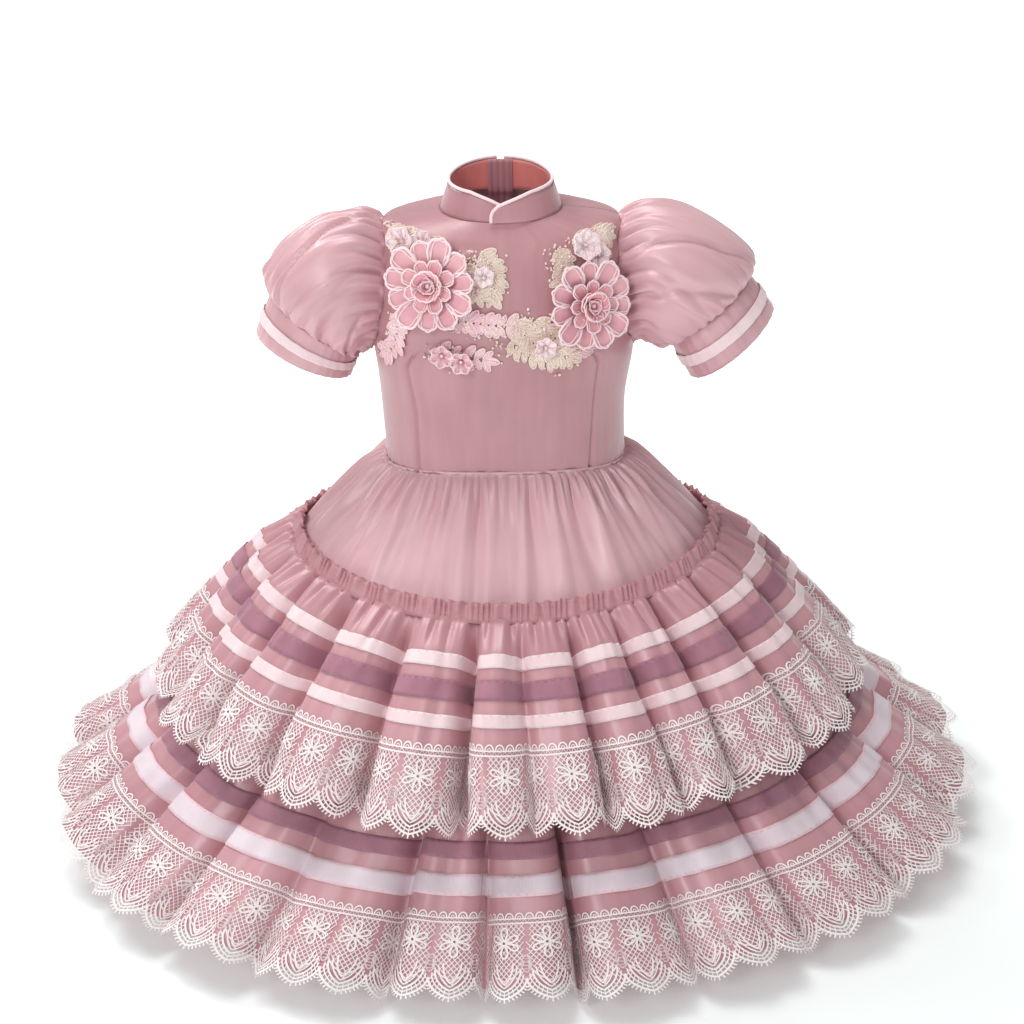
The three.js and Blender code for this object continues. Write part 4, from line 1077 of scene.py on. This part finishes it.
def strip_mesh(name):
    """All strips as one flat mesh. x counts repeats, y runs from 0 at the foot of the lace to 1 at its top."""
    points, faces, uv = [], [], []
    for line, width, lift in strips:
        along = unit(np.gradient(line, axis=0))
        side = np.stack([-along[:, 1], along[:, 0]], -1) * width / 2
        first = len(points)
        far = far_along(line) * MM
        for place, aside in zip(line, side):
            points += [(*(place + aside), lift), (*(place - aside), lift)]
        for k in range(len(line) - 1):
            a = first + 2 * k
            faces.append((a, a + 1, a + 3, a + 2))
            uv += [(far[k], 1), (far[k], 0), (far[k + 1], 0), (far[k + 1], 1)]
    points = np.array(points)
    made = mesh_object(name, points, faces, uv)
    flat = np.stack([points[:, 0] / REPEAT, 1 - points[:, 1] / LOW_TIP, points[:, 2] * MM], -1)
    made.data.vertices.foreach_set("co", flat.ravel())
    area = sum(w * np.linalg.norm(np.diff(line, axis=0), axis=1).sum() for line, w, _ in strips)
    return made, area / (REPEAT * DEPTH)


draw_lace()
repeat, cover = strip_mesh("one_repeat")
print("one repeat has", len(repeat.data.polygons) * 2, "triangles and covers", round(cover, 2),
      "of its ground")

# %% [markdown]
# The tree below takes the plain band as its geometry. It sets the repeats in a line, then moves each point to
# the place on the band that has the same UV, and out along the band's normal by the thread's own height.

# %% Lay the lace on the flounces
lay, lay_in, lay_out = new_tree("lay_a_repeat_on_a_band", [
    ("Repeat", "Object", None), ("Count", "Int", 10), ("Finish", "Material", None)])
line = put(lay, "GeometryNodeMeshLine", {"Count": lay_in.outputs["Count"], "Offset": (1.0, 0, 0)})
piece = put(lay, "GeometryNodeObjectInfo", {"Object": lay_in.outputs["Repeat"]})
row = put(lay, "GeometryNodeInstanceOnPoints", {
    "Points": line.outputs[0], "Instance": piece.outputs["Geometry"]})
real = put(lay, "GeometryNodeRealizeInstances", {0: row.outputs[0]})
flat = put(lay, "ShaderNodeSeparateXYZ", {0: put(lay, "GeometryNodeInputPosition").outputs[0]})
# a repeat's edge strips reach a little past it, so the ends are held just inside the band
along = maths(lay, "DIVIDE", flat.outputs[0], lay_in.outputs["Count"])
along = maths(lay, "MINIMUM", maths(lay, "MAXIMUM", along, 0.00001), 0.99999)
down = maths(lay, "MINIMUM", maths(lay, "MAXIMUM", flat.outputs[1], 0.0001), 0.9999)
where = put(lay, "ShaderNodeCombineXYZ", {0: along, 1: down}).outputs[0]
sampled = []
for value in (put(lay, "GeometryNodeInputPosition").outputs[0], named(lay, "outward")):
    node = put(lay, "GeometryNodeSampleUVSurface", data_type="FLOAT_VECTOR")
    lay.links.new(lay_in.outputs["Geometry"], node.inputs["Mesh"])
    lay.links.new(value, node.inputs["Value"])
    lay.links.new(named(lay, "cloth"), node.inputs["Source UV Map"])
    lay.links.new(where, node.inputs["Sample UV"])
    sampled.append(node.outputs[0])
raised = put(lay, "ShaderNodeVectorMath", {0: sampled[1], "Scale": flat.outputs[2]}, operation="SCALE")
spot = put(lay, "ShaderNodeVectorMath", {0: sampled[0], 1: raised.outputs[0]}, operation="ADD")
moved = put(lay, "GeometryNodeSetPosition", {"Geometry": real.outputs[0], "Position": spot.outputs[0]})
close_tree(lay, moved.outputs[0], lay_in.outputs["Finish"], lay_out)

for name in ("upper", "lower"):
    surface = lambda at, degrees, name=name: flounce_point(name, at, degrees, 0.55)
    grid = grid_of(surface, 1.0, LACE_FROM[name], 26, -90, 270, 1101)
    u, v = lengths(grid)
    count = round(u.max() / (REPEAT * MM))
    band = carrier(f"lace_{name}", grid)
    run_tree(band, lay, Repeat=repeat, Count=count, Finish=LACE)
    finish(band, [f"{name}_lace"], [LACE])
    print(name, "lace:", count, "repeats,", round(u.max(), 2), "m,", len(band.data.polygons) * 2, "triangles")
bpy.data.objects.remove(repeat)

# %% [markdown]
# ## Small things that are sewn on
# Stitches, zip teeth, petals, leaves and pearls are all one small shape set on many places. One tree does them
# all: it turns the shape by two directions kept at each place, sizes it, and makes the copies real.

# %% A tree that sets a shape on places
sew, sew_in, sew_out = new_tree("set_a_shape_on_places", [
    ("Shape", "Object", None), ("Finish", "Material", None)])
turned = put(sew, "FunctionNodeAxesToRotation", {
    "Primary Axis": named(sew, "outward"), "Secondary Axis": named(sew, "along")},
    primary_axis="Z", secondary_axis="X")
shape = put(sew, "GeometryNodeObjectInfo", {"Object": sew_in.outputs["Shape"]})
copies = put(sew, "GeometryNodeInstanceOnPoints", {
    "Points": sew_in.outputs["Geometry"], "Instance": shape.outputs["Geometry"],
    "Rotation": turned.outputs[0], "Scale": named(sew, "size", "FLOAT")})
close_tree(sew, copies.outputs[0], sew_in.outputs["Finish"], sew_out)


def set_on(name, shape, places, out, along, size, material):
    """Copies of a shape on places (millimetres), each with its outward and its long direction."""
    places = np.asarray(places, float).reshape(-1, 3)
    made = mesh_object(name, places, [])
    for label, value in (("outward", out), ("along", along)):
        value = np.broadcast_to(np.asarray(value, float), places.shape).astype(np.float32)
        made.data.attributes.new(label, "FLOAT_VECTOR", "POINT").data.foreach_set("vector", value.ravel())
    sizes = np.broadcast_to(np.asarray(size, float), len(places)).astype(np.float32).copy()
    made.data.attributes.new("size", "FLOAT", "POINT").data.foreach_set("value", sizes)
    return run_tree(made, sew, Shape=shape, Finish=material)


def lozenge(name, long, wide, tall, sides=6, rings=3):
    """A small rounded bar along X that lies on its underside."""
    turn = np.linspace(0, 2 * math.pi, sides, endpoint=False)
    points, faces = [(-long / 2, 0, tall / 2)], []
    for k in range(rings):
        x = long * ((k + 1) / (rings + 1) - 0.5)
        fat = math.sin(math.pi * (k + 1) / (rings + 1)) ** 0.5
        points += [(x, fat * wide / 2 * math.cos(t), tall / 2 * (1 + fat * math.sin(t))) for t in turn]
    points.append((long / 2, 0, tall / 2))
    for s in range(sides):
        after = (s + 1) % sides
        faces.append((0, 1 + s, 1 + after))
        for k in range(rings - 1):
            a = 1 + k * sides
            faces.append((a + s, a + sides + s, a + sides + after, a + after))
        a = 1 + (rings - 1) * sides
        faces.append((a + after, a + s, len(points) - 1))
    return turned_out(mesh_object(name, points, faces, [(0.0, 0.5)] * sum(len(f) for f in faces)))


def along_line(points, spacing):
    """Evenly spaced places on a line, with the direction of the line at each."""
    far = far_along(points)
    want = np.arange(spacing / 2, far[-1], spacing)
    place = at_distances(points, far, want)
    return place, unit(np.gradient(place, axis=0)), want / far[-1]


# %% [markdown]
# ## Stitches
# A machine's stitches run along both edges of every ribbon. At arm's length they read as a fine dotted line,
# so each is only a small rounded bar in the ribbon's own tone.

# %% Stitches along the ribbons
bar = lozenge("stitch_bar", 3.0, 0.5, 0.4, sides=4, rings=2)
degrees = np.linspace(-90, 270, 1441)
for name, tier, start, end, finish_name in RIBBONS:
    places, outs, alongs = [], [], []
    for at in (lerp(start, end, 0.08), lerp(start, end, 0.92)):
        line = flounce_point(tier, at, degrees, 1.12)
        place, along, share = along_line(line, 6.4)
        up = unit(flounce_point(tier, at - 0.01, degrees) - flounce_point(tier, at + 0.01, degrees))
        up = at_distances(up, degrees, share * 360 - 90)
        places.append(place)
        alongs.append(along)
        outs.append(unit(np.cross(along, up)))
    material = RIBBON_FINISHES[finish_name]
    made = set_on(f"stitches_{name}", bar, np.vstack(places), np.vstack(outs), np.vstack(alongs), 1.0,
                  material)
    finish(made, [], [material])
print("stitches on", len(RIBBONS), "ribbons")

# %% [markdown]
# ## Zip
# The zip runs down the centre back, from the collar to just below the waist. Its tape shows as a line beside
# the coil, and the coil is one small tooth set along the line again and again. The slider keeps its solid.


# %% Zip tape and coil
TAPE_HALF, TAPE_UNDER, TAPE_PLEATS = 10, 2.3, 1.25
TOOTH_SPACING, TEETH_UNDER = 1.35, 1.3


def zip_line():
    """The centre back on the cloth's outer face, from the zip's end up to the collar's top."""
    yoke_line = yoke_point(np.linspace(0.3, 0.02, 12), 180.0)
    back = bodice_point(0.0, np.linspace(0, 9, 60), True)
    neck = collar_half(1)[:, -1]
    return np.vstack([yoke_line, back, neck[1:] * (0, 1, 1)])


centre = zip_line()
centre[:, 0] = 0
out = unit(np.cross((-1.0, 0, 0), np.gradient(centre, axis=0)))
across = np.linspace(TAPE_HALF, -TAPE_HALF, 2 * TAPE_HALF + 1)
grid = np.stack([centre - out * TAPE_UNDER + np.array([x, 0, 0]) - out * 0.02 * abs(x) for x in across], 1)
grid = grid - out[:, None] * 0.5 * (1 + np.sin(across * TAPE_PLEATS))[None, :, None]
tape = cloth("zip_tape_woven", grid, 0.8)
finish(tape, ["zip_tape"], [TAPE])
tooth = lozenge("zip_tooth", 4.4, 1.0, 1.3)
fine = at_distances(centre, np.linspace(0, 1, len(centre)), np.linspace(0, 1, 400))
place, along, _ = along_line(fine, TOOTH_SPACING)
turned = unit(np.cross((-1.0, 0, 0), along))
coil = set_on("zip_coil_teeth", tooth, place - turned * TEETH_UNDER, turned, (1.0, 0, 0), 1.0, COIL)
finish(coil, ["zip_teeth"], [COIL])
for node in ("zip_slider", "zip_pull"):
    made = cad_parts[node]
    made.data.materials.clear()
    made.data.materials.append(METAL)
print("zip teeth", len(place))

# %% [markdown]
# ## Flowers and leaves on the chest
# Two layered flowers stand out from the chest: an outer ring of broad organza petals with corded edges, a
# second ring, and a curled heart round a crystal. Cream leaves and small pink flowers trail between them.


# %% Petals and the two large flowers
def petal_grid(long, wide, cup, rows=7, columns=9):
    """A petal along +X that rises from its foot and curls back at its tip."""
    t = 1 - (1 - np.linspace(0, 1, columns)[None, :]) ** 1.6
    s = np.linspace(-1, 1, rows)[:, None]
    foot = np.clip(t / 0.6, 0, 1)
    half = wide / 2 * lerp(0.36, 1, foot * foot * (3 - 2 * foot))
    half = half * np.clip(1 - (np.maximum(t - 0.7, 0) / 0.3) ** 3, 0.05, 1) ** 0.42
    x = long * t * (1 - 0.05 * s**2 * t)
    z = cup * np.sin(np.pi * 0.55 * t) + 0.16 * wide * s**2 * np.sin(np.pi * t) - 0.2 * cup * t**3
    z = z + 0.35 * np.sin(3.2 * s + 5 * t) * t
    return np.stack([x + 0 * s, half * s, z + 0 * x], -1)


def petal_shape(name, long, wide, cup, cord=0.95):
    """The petal's cloth, and the cord round its free edge with a smaller loop inside it."""
    grid = petal_grid(long, wide, cup)
    leaf = cloth(name, grid, 0.5)
    rim = np.vstack([grid[0, 1:], grid[1:-1, -1], grid[-1, 1:][::-1]])
    loop = np.vstack([grid[1, 2:-2], grid[2:5, -3] + (1.2, 0, 0), grid[5, 2:-2][::-1]]) + (0, 0, 0.7)
    edge, inner = tube(f"{name}_edge", rim, cord, sides=5), tube(f"{name}_loop", loop, cord * 0.62, sides=4)
    return leaf, joined([edge, inner])


def chest(share, row, lift=0.0):
    """A place on the bodice's front."""
    return bodice_point(share, row, False, lift)


def chest_frame(share, row):
    """Outward, rightwards and upwards on the chest."""
    across = chest(share + 0.03, row) - chest(share - 0.03, row)
    rise = chest(share, row + 0.15) - chest(share, row - 0.15)
    out = unit(np.cross(across, rise))
    right = unit(across - out * (across * out).sum(-1, keepdims=True))
    return out, right, np.cross(out, right)


def whorl_places(share, row, count, radius, lift, turn):
    """Places round a flower's middle, with the way each petal points and the flower's outward."""
    out, right, above = chest_frame(share, row)
    angle = np.radians(turn + np.arange(count) * 360 / count)
    ray = np.cos(angle)[:, None] * right + np.sin(angle)[:, None] * above
    return chest(share, row) + ray * radius + out * lift, ray, np.broadcast_to(out, ray.shape)


FLOWERS = [
    # name, share, row, width, turn
    ("flower_right", -0.44, 4.85, 38.0, 10), ("flower_left", 0.56, 4.2, 37.0, 25),
]
DRAWN_WIDTH = 37.0  # the width that the petals' sizes are for
PEARLS_IN, PEARLS_OUT = 7, 9
big, big_edge = petal_shape("big_petal", 26.5, 16.6, 4.0)
mid, mid_edge = petal_shape("mid_petal", 13.5, 16.5, 5.0, 0.6)
curl, curl_edge = petal_shape("curl_petal", 8.5, 11.5, 4.0, 0.5)
bead = lozenge("pearl_bead", 1.0, 1.0, 1.0, sides=10, rings=5)
gem = lozenge("crystal_gem", 1.0, 1.0, 0.7, sides=6, rings=2)


def jitter(count, seed, amount):
    """Numbers a little above and below 1."""
    return 1 + amount * np.sin(np.arange(count) * 2.4 + seed)


for name, share, row, size, turn in FLOWERS:
    scale = size / DRAWN_WIDTH
    rings = [
        # shape, edge, count, start radius, lift, turn, lean, size
        (big, big_edge, 11, 10.5, 2.0, turn, 0.12, 1.0),
        (big, big_edge, 8, 5.0, 4.2, turn + 16, 0.3, 0.66),
        (mid, mid_edge, 6, 3.4, 5.4, turn + 5, 0.75, 1.0),
        (curl, curl_edge, 5, 2.6, 6.0, turn + 30, 1.5, 1.0),
    ]
    for part, chosen, colour in (("petals", rings[:2], PETAL), ("heart", rings[2:], HEART)):
        leaves, cords = [], []
        for k, (leaf, edge, count, radius, lift, spin, lean, grow) in enumerate(chosen):
            place, ray, out = whorl_places(share, row, count, radius * scale, lift, spin)
            tip = lean * jitter(count, k + turn, 0.25)[:, None]
            point, face = unit(ray + out * tip), unit(out - ray * tip)
            sizes = grow * scale * jitter(count, 3 * k + turn, 0.08)
            for shape, kind, bag, finish_of in ((leaf, "cloth", leaves, colour), (edge, "cord", cords, CORD)):
                bag.append(set_on(f"{name}_{part}_{kind}_{k}", shape, place, face, point, sizes, finish_of))
        for bag, kind, finish_of in ((leaves, "cloth", colour), (cords, "cord", CORD)):
            made = joined(bag)
            made.name = f"{name}_{part}_{kind}"
            finish(made, [f"{name}_{part}"] if kind == "cloth" else [], [finish_of])
    out, right, above = chest_frame(share, row)
    rounds = [whorl_places(share, row, PEARLS_IN, 5.0 * scale, 9.5, turn),
              whorl_places(share, row, PEARLS_OUT, 13.0, 6.5, turn + 8)]
    place, ray, outs = (np.vstack([ring[k] for ring in rounds]) for k in range(3))
    sizes = [3.2] * PEARLS_IN + [2.4] * PEARLS_OUT
    pearls = set_on(f"{name}_pearls", bead, place, outs, ray, sizes, PEARL)
    finish(pearls, [], [PEARL])
    stone = set_on(f"{name}_crystal", gem, chest(share, row) + out * 9.5, out, right, 5.5, CRYSTAL)
    finish(stone, [], [CRYSTAL])
print("flowers made")

# %% [markdown]
# ## Leaf sprays
# The leaves lie flat on the chest along curved stems, in pairs. A leaf is a raised embroidered rim round a
# vein, so it is drawn as a small ring and a bar, and set on each stem's places. Knots of thread fill the ground.


# %% Leaves and small flowers
def leaf_shape(name, long, half):
    """A leaf with a padded middle, an embroidered rim and a vein, along +X."""
    t = np.linspace(0, math.pi, 9)
    low = np.stack([long * (0.5 - 0.5 * np.cos(t)), -half * np.sin(t) ** 1.2, 0.5 + 0 * t], -1)
    rim = np.vstack([low, low[::-1][1:-1] * (1, -1, 1), low[:1]])
    outer = tube(name, rim, 0.55, sides=5)
    vein = tube(f"{name}_vein", [(long * 0.08, 0, 0.6), (long * 0.5, 0, 1.1), (long * 0.92, 0, 0.6)], 0.4,
                sides=4)
    body = lozenge(f"{name}_body", long, 2 * half, 0.8, sides=6, rings=4)
    body.data.transform(mathutils.Matrix.Translation((long / 2 * MM, 0, 0)))
    return joined([outer, vein, body])


leaf = leaf_shape("leaf_shape", 9.0, 2.1)
knot = lozenge("thread_knot", 1.0, 1.0, 0.9, sides=5, rings=2)
small, small_edge = petal_shape("small_petal", 7.0, 5.6, 1.6, 0.5)
SPRAYS = [
    # solid, material, stem from (share, row) to (share, row), bend, pairs of leaves, size
    ("spray_right_shoulder", "cream", (-0.76, 6.9), (-0.44, 5.9), 0.3, 10, 1.3),
    ("spray_right_shoulder", "cream", (-0.62, 7.1), (-0.36, 6.4), 0.3, 8, 1.15),
    ("spray_left_shoulder", "cream", (0.36, 6.9), (0.7, 5.7), -0.3, 10, 1.3),
    ("spray_left_shoulder", "cream", (0.5, 7.1), (0.74, 6.3), -0.2, 8, 1.15),
    ("spray_left_shoulder", "cream", (0.3, 6.2), (0.36, 4.9), 0.3, 8, 1.1),
    ("spray_right", "cream", (-0.1, 6.2), (-0.05, 4.5), 0.4, 9, 1.2),
    ("spray_right", "cream", (-0.16, 5.7), (-0.12, 4.6), -0.2, 6, 1.1),
    ("spray_left", "cream", (0.04, 3.9), (0.32, 2.4), -0.3, 11, 1.3),
    ("spray_left", "cream", (0.16, 3.9), (0.36, 3.0), -0.2, 8, 1.15),
    ("spray_left", "cream", (0.02, 3.3), (0.2, 2.3), -0.1, 6, 1.15),
    ("spray_centre", "pink", (-0.3, 3.9), (0.03, 3.7), 0.25, 8, 1.25),
    ("spray_centre", "pink", (-0.76, 4.0), (-0.72, 2.4), 0.3, 8, 1.25),
    ("spray_centre", "pink", (-0.34, 2.9), (-0.06, 2.5), 0.3, 5, 1.25),
    ("spray_left", "pink", (0.36, 2.7), (0.52, 3.3), 0.2, 5, 1.2),
]
SMALL_FLOWERS = [
    # solid, place, size, finish of its petals
    ("spray_right_shoulder", -0.62, 6.35, 1.7, "lace"), ("spray_right_shoulder", -0.42, 6.75, 1.2, "lace"),
    ("spray_left_shoulder", 0.5, 6.2, 1.7, "lace"), ("spray_left_shoulder", 0.66, 5.6, 1.3, "lace"),
    ("spray_right", -0.08, 5.2, 1.1, "lace"), ("spray_centre", -0.29, 2.75, 1.3, "petal"),
    ("spray_centre", -0.17, 2.45, 1.3, "petal"), ("spray_left", 0.2, 3.05, 1.2, "lace"),
]


def stem_places(start, end, bend, pairs, size):
    """Where a stem's leaves start, each with its outward and the way it points."""
    t = np.linspace(0.06, 0.94, pairs)
    share = lerp(start[0], end[0], t) + bend * 0.12 * np.sin(np.pi * t)
    row = lerp(start[1], end[1], t)
    middle = chest(share, row, 0.5)
    along = unit(np.gradient(middle, axis=0))
    out, _, _ = chest_frame(share, row)
    side = np.cross(out, along)
    points = np.concatenate([unit(along * 0.7 + side * k) for k in (-1, 1)] + [along[-1:]])
    return (np.concatenate([middle, middle, middle[-1:]]), np.concatenate([out, out, out[-1:]]), points,
            size * jitter(2 * pairs + 1, start[0] * 10, 0.14))


KNOTS = 80  # on each stem
BLOOM_LEAN = 0.35
rng = np.random.default_rng(4)
for node in ("spray_right_shoulder", "spray_left_shoulder", "spray_right", "spray_left", "spray_centre"):
    ground = [s for s in SPRAYS if s[0] == node]
    for kind, material in (("cream", CREAM), ("pink", PINK_THREAD)):
        stems = [s for s in SPRAYS if s[0] == node and s[1] == kind]
        bag = []
        for k, (_, _, start, end, bend, pairs, size) in enumerate(stems):
            place, out, along, sizes = stem_places(start, end, bend, pairs, size)
            bag.append(set_on(f"{node}_{kind}_{k}", leaf, place, out, along, sizes, material))
        if bag:
            made = joined(bag)
            made.name = f"{node}_{kind}_leaves"
            finish(made, [node] if stems[0] == ground[0] else [], [material])
    at = np.array([(lerp(s[2][0], s[3][0], t), lerp(s[2][1], s[3][1], t)) for s in ground
                   for t in np.linspace(-0.05, 1.05, KNOTS)])
    at = at + rng.normal(0, 1, at.shape) * (0.045, 0.2)
    out, right, _ = chest_frame(*at.T)
    knots = set_on(f"{node}_knots", knot, chest(*at.T, 0.1), out, right, rng.uniform(1.5, 3.0, len(at)), CREAM)
    finish(knots, [], [CREAM])
    for k, (_, share, row, size, kind) in enumerate([f for f in SMALL_FLOWERS if f[0] == node]):
        place, ray, out = whorl_places(share, row, 6, 1.2, 1.6, 20 + 40 * k)
        face, point = unit(out - ray * BLOOM_LEAN), unit(ray + out * BLOOM_LEAN)
        cloth_of = LACE if kind == "lace" else PETAL
        for shape, part, finish_of in ((small, "petals", cloth_of), (small_edge, "edges", CORD)):
            made = set_on(f"{node}_bloom_{k}_{part}", shape, place, face, point, size, finish_of)
            finish(made, [], [finish_of])
        stone = set_on(f"{node}_bloom_{k}_pearl", bead, chest(share, row, 2.2), out[0], ray[0], 3.2, PEARL)
        finish(stone, [], [PEARL])

places = [(lerp(start[0], end[0], t), lerp(start[1], end[1], t)) for _, _, start, end, *_ in SPRAYS
          for t in rng.uniform(0, 1, 7)]
share, row = np.array(places).T + rng.normal(0, 1, (2, len(places))) * [[0.05], [0.2]]
out, right, _ = chest_frame(share, row)
sizes = rng.uniform(1.8, 3.0, len(row))
loose = set_on("loose_pearls", bead, chest(share, row, 0.8), out, right, sizes, PEARL)
finish(loose, [], [PEARL])
for shape in (bar, tooth, big, big_edge, mid, mid_edge, curl, curl_edge, bead, gem, leaf, knot, small,
              small_edge):
    bpy.data.objects.remove(shape)
print("sprays made")

# %% [markdown]
# ## Floor, light and camera
# A pale floor under the hem and large soft lights keep the shadows gentle, as in a shop's picture. The floor
# glows more with distance, so that it stays white where the lights don't reach. The camera stands in front, a
# little above, and is turned slightly, because the dress leans a little in the picture.

# %% Floor, light and camera
floor_mesh = bpy.data.meshes.new("floor")
reach = 20.0
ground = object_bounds()[0][2] - 0.0005
floor_mesh.from_pydata([(-reach, -reach, ground), (reach, -reach, ground), (reach, reach, ground),
                        (-reach, reach, ground)], [], [(0, 1, 2, 3)])
floor = bpy.data.objects.new("floor", floor_mesh)
bpy.context.scene.collection.objects.link(floor)
pale, tree, shader = new_material("floor_paint", 0.9, Specular_IOR_Level=0.1)
place = put(tree, "ShaderNodeTexCoord").outputs["Object"]
far = put(tree, "ShaderNodeVectorMath", {0: place}, operation="LENGTH")
# from 0.5 m to 1.6 m away the glow rises from 0.1 to 0.8
glow = put(tree, "ShaderNodeMapRange", {0: far.outputs["Value"], 1: 0.5, 2: 1.6, 3: 0.1, 4: 0.8})
tree.links.new(glow.outputs[0], shader.inputs["Emission Strength"])
shader.inputs["Emission Color"].default_value = (1.0, 1.0, 1.0, 1.0)
# the floor's faint cyan tint offsets the pink light that the dress throws into its shadows
patches(tree, shader, paint(243, 250, 249), paint(240, 247, 246), 3.0)
floor.data.materials.append(pale)

world = bpy.data.worlds.new("soft_room")
world.use_nodes = True
world.node_tree.nodes["Background"].inputs["Color"].default_value = (1.0, 0.985, 0.98, 1.0)
world.node_tree.nodes["Background"].inputs["Strength"].default_value = 0.3
bpy.context.scene.world = world


def light(name, place, target, size, power):
    """A square lamp of a size in metres and a power in watts, turned to a target."""
    lamp = bpy.data.lights.new(name, "AREA")
    lamp.size, lamp.energy = size, power
    made = bpy.data.objects.new(name, lamp)
    made.location = place
    way = np.array(target) - np.array(place)
    tilt, turn = math.atan2(math.hypot(way[0], way[1]), -way[2]), math.atan2(way[1], way[0])
    made.rotation_euler = (tilt, 0, turn - math.pi / 2)
    bpy.context.scene.collection.objects.link(made)


light("top", (-0.3, 0.2, 2.4), (0, 0, -0.3), 1.2, 36)
light("back_left", (-1.6, 1.3, 1.9), (0, 0, -0.3), 0.8, 30)
light("front", (-1.2, -2.3, 1.4), (0, 0, -0.25), 0.8, 27)

LOOK_AT, DISTANCE, DOWN, ROLL = (5.1, 0.0, -262.0), 1500.0, 25.0, 0.87
FOCAL, PICTURE, SENSOR = 1724, 1024, 36.0  # the lens and the picture's side in pixels, and the sensor in mm
camera = bpy.data.objects.new("camera", bpy.data.cameras.new("camera"))
camera.data.sensor_width = SENSOR
camera.data.lens = FOCAL / PICTURE * SENSOR
camera.location = (np.array(LOOK_AT) + DISTANCE * np.array(
    [0, -math.cos(math.radians(DOWN)), math.sin(math.radians(DOWN))])) * MM
camera.rotation_euler = (math.radians(90 - DOWN), 0, 0)
camera.rotation_euler.rotate_axis("Z", math.radians(-ROLL))
bpy.context.scene.collection.objects.link(camera)
bpy.context.scene.camera = camera
bpy.context.scene.view_settings.view_transform = "Standard"
print("camera at", tuple(round(v, 3) for v in camera.location))
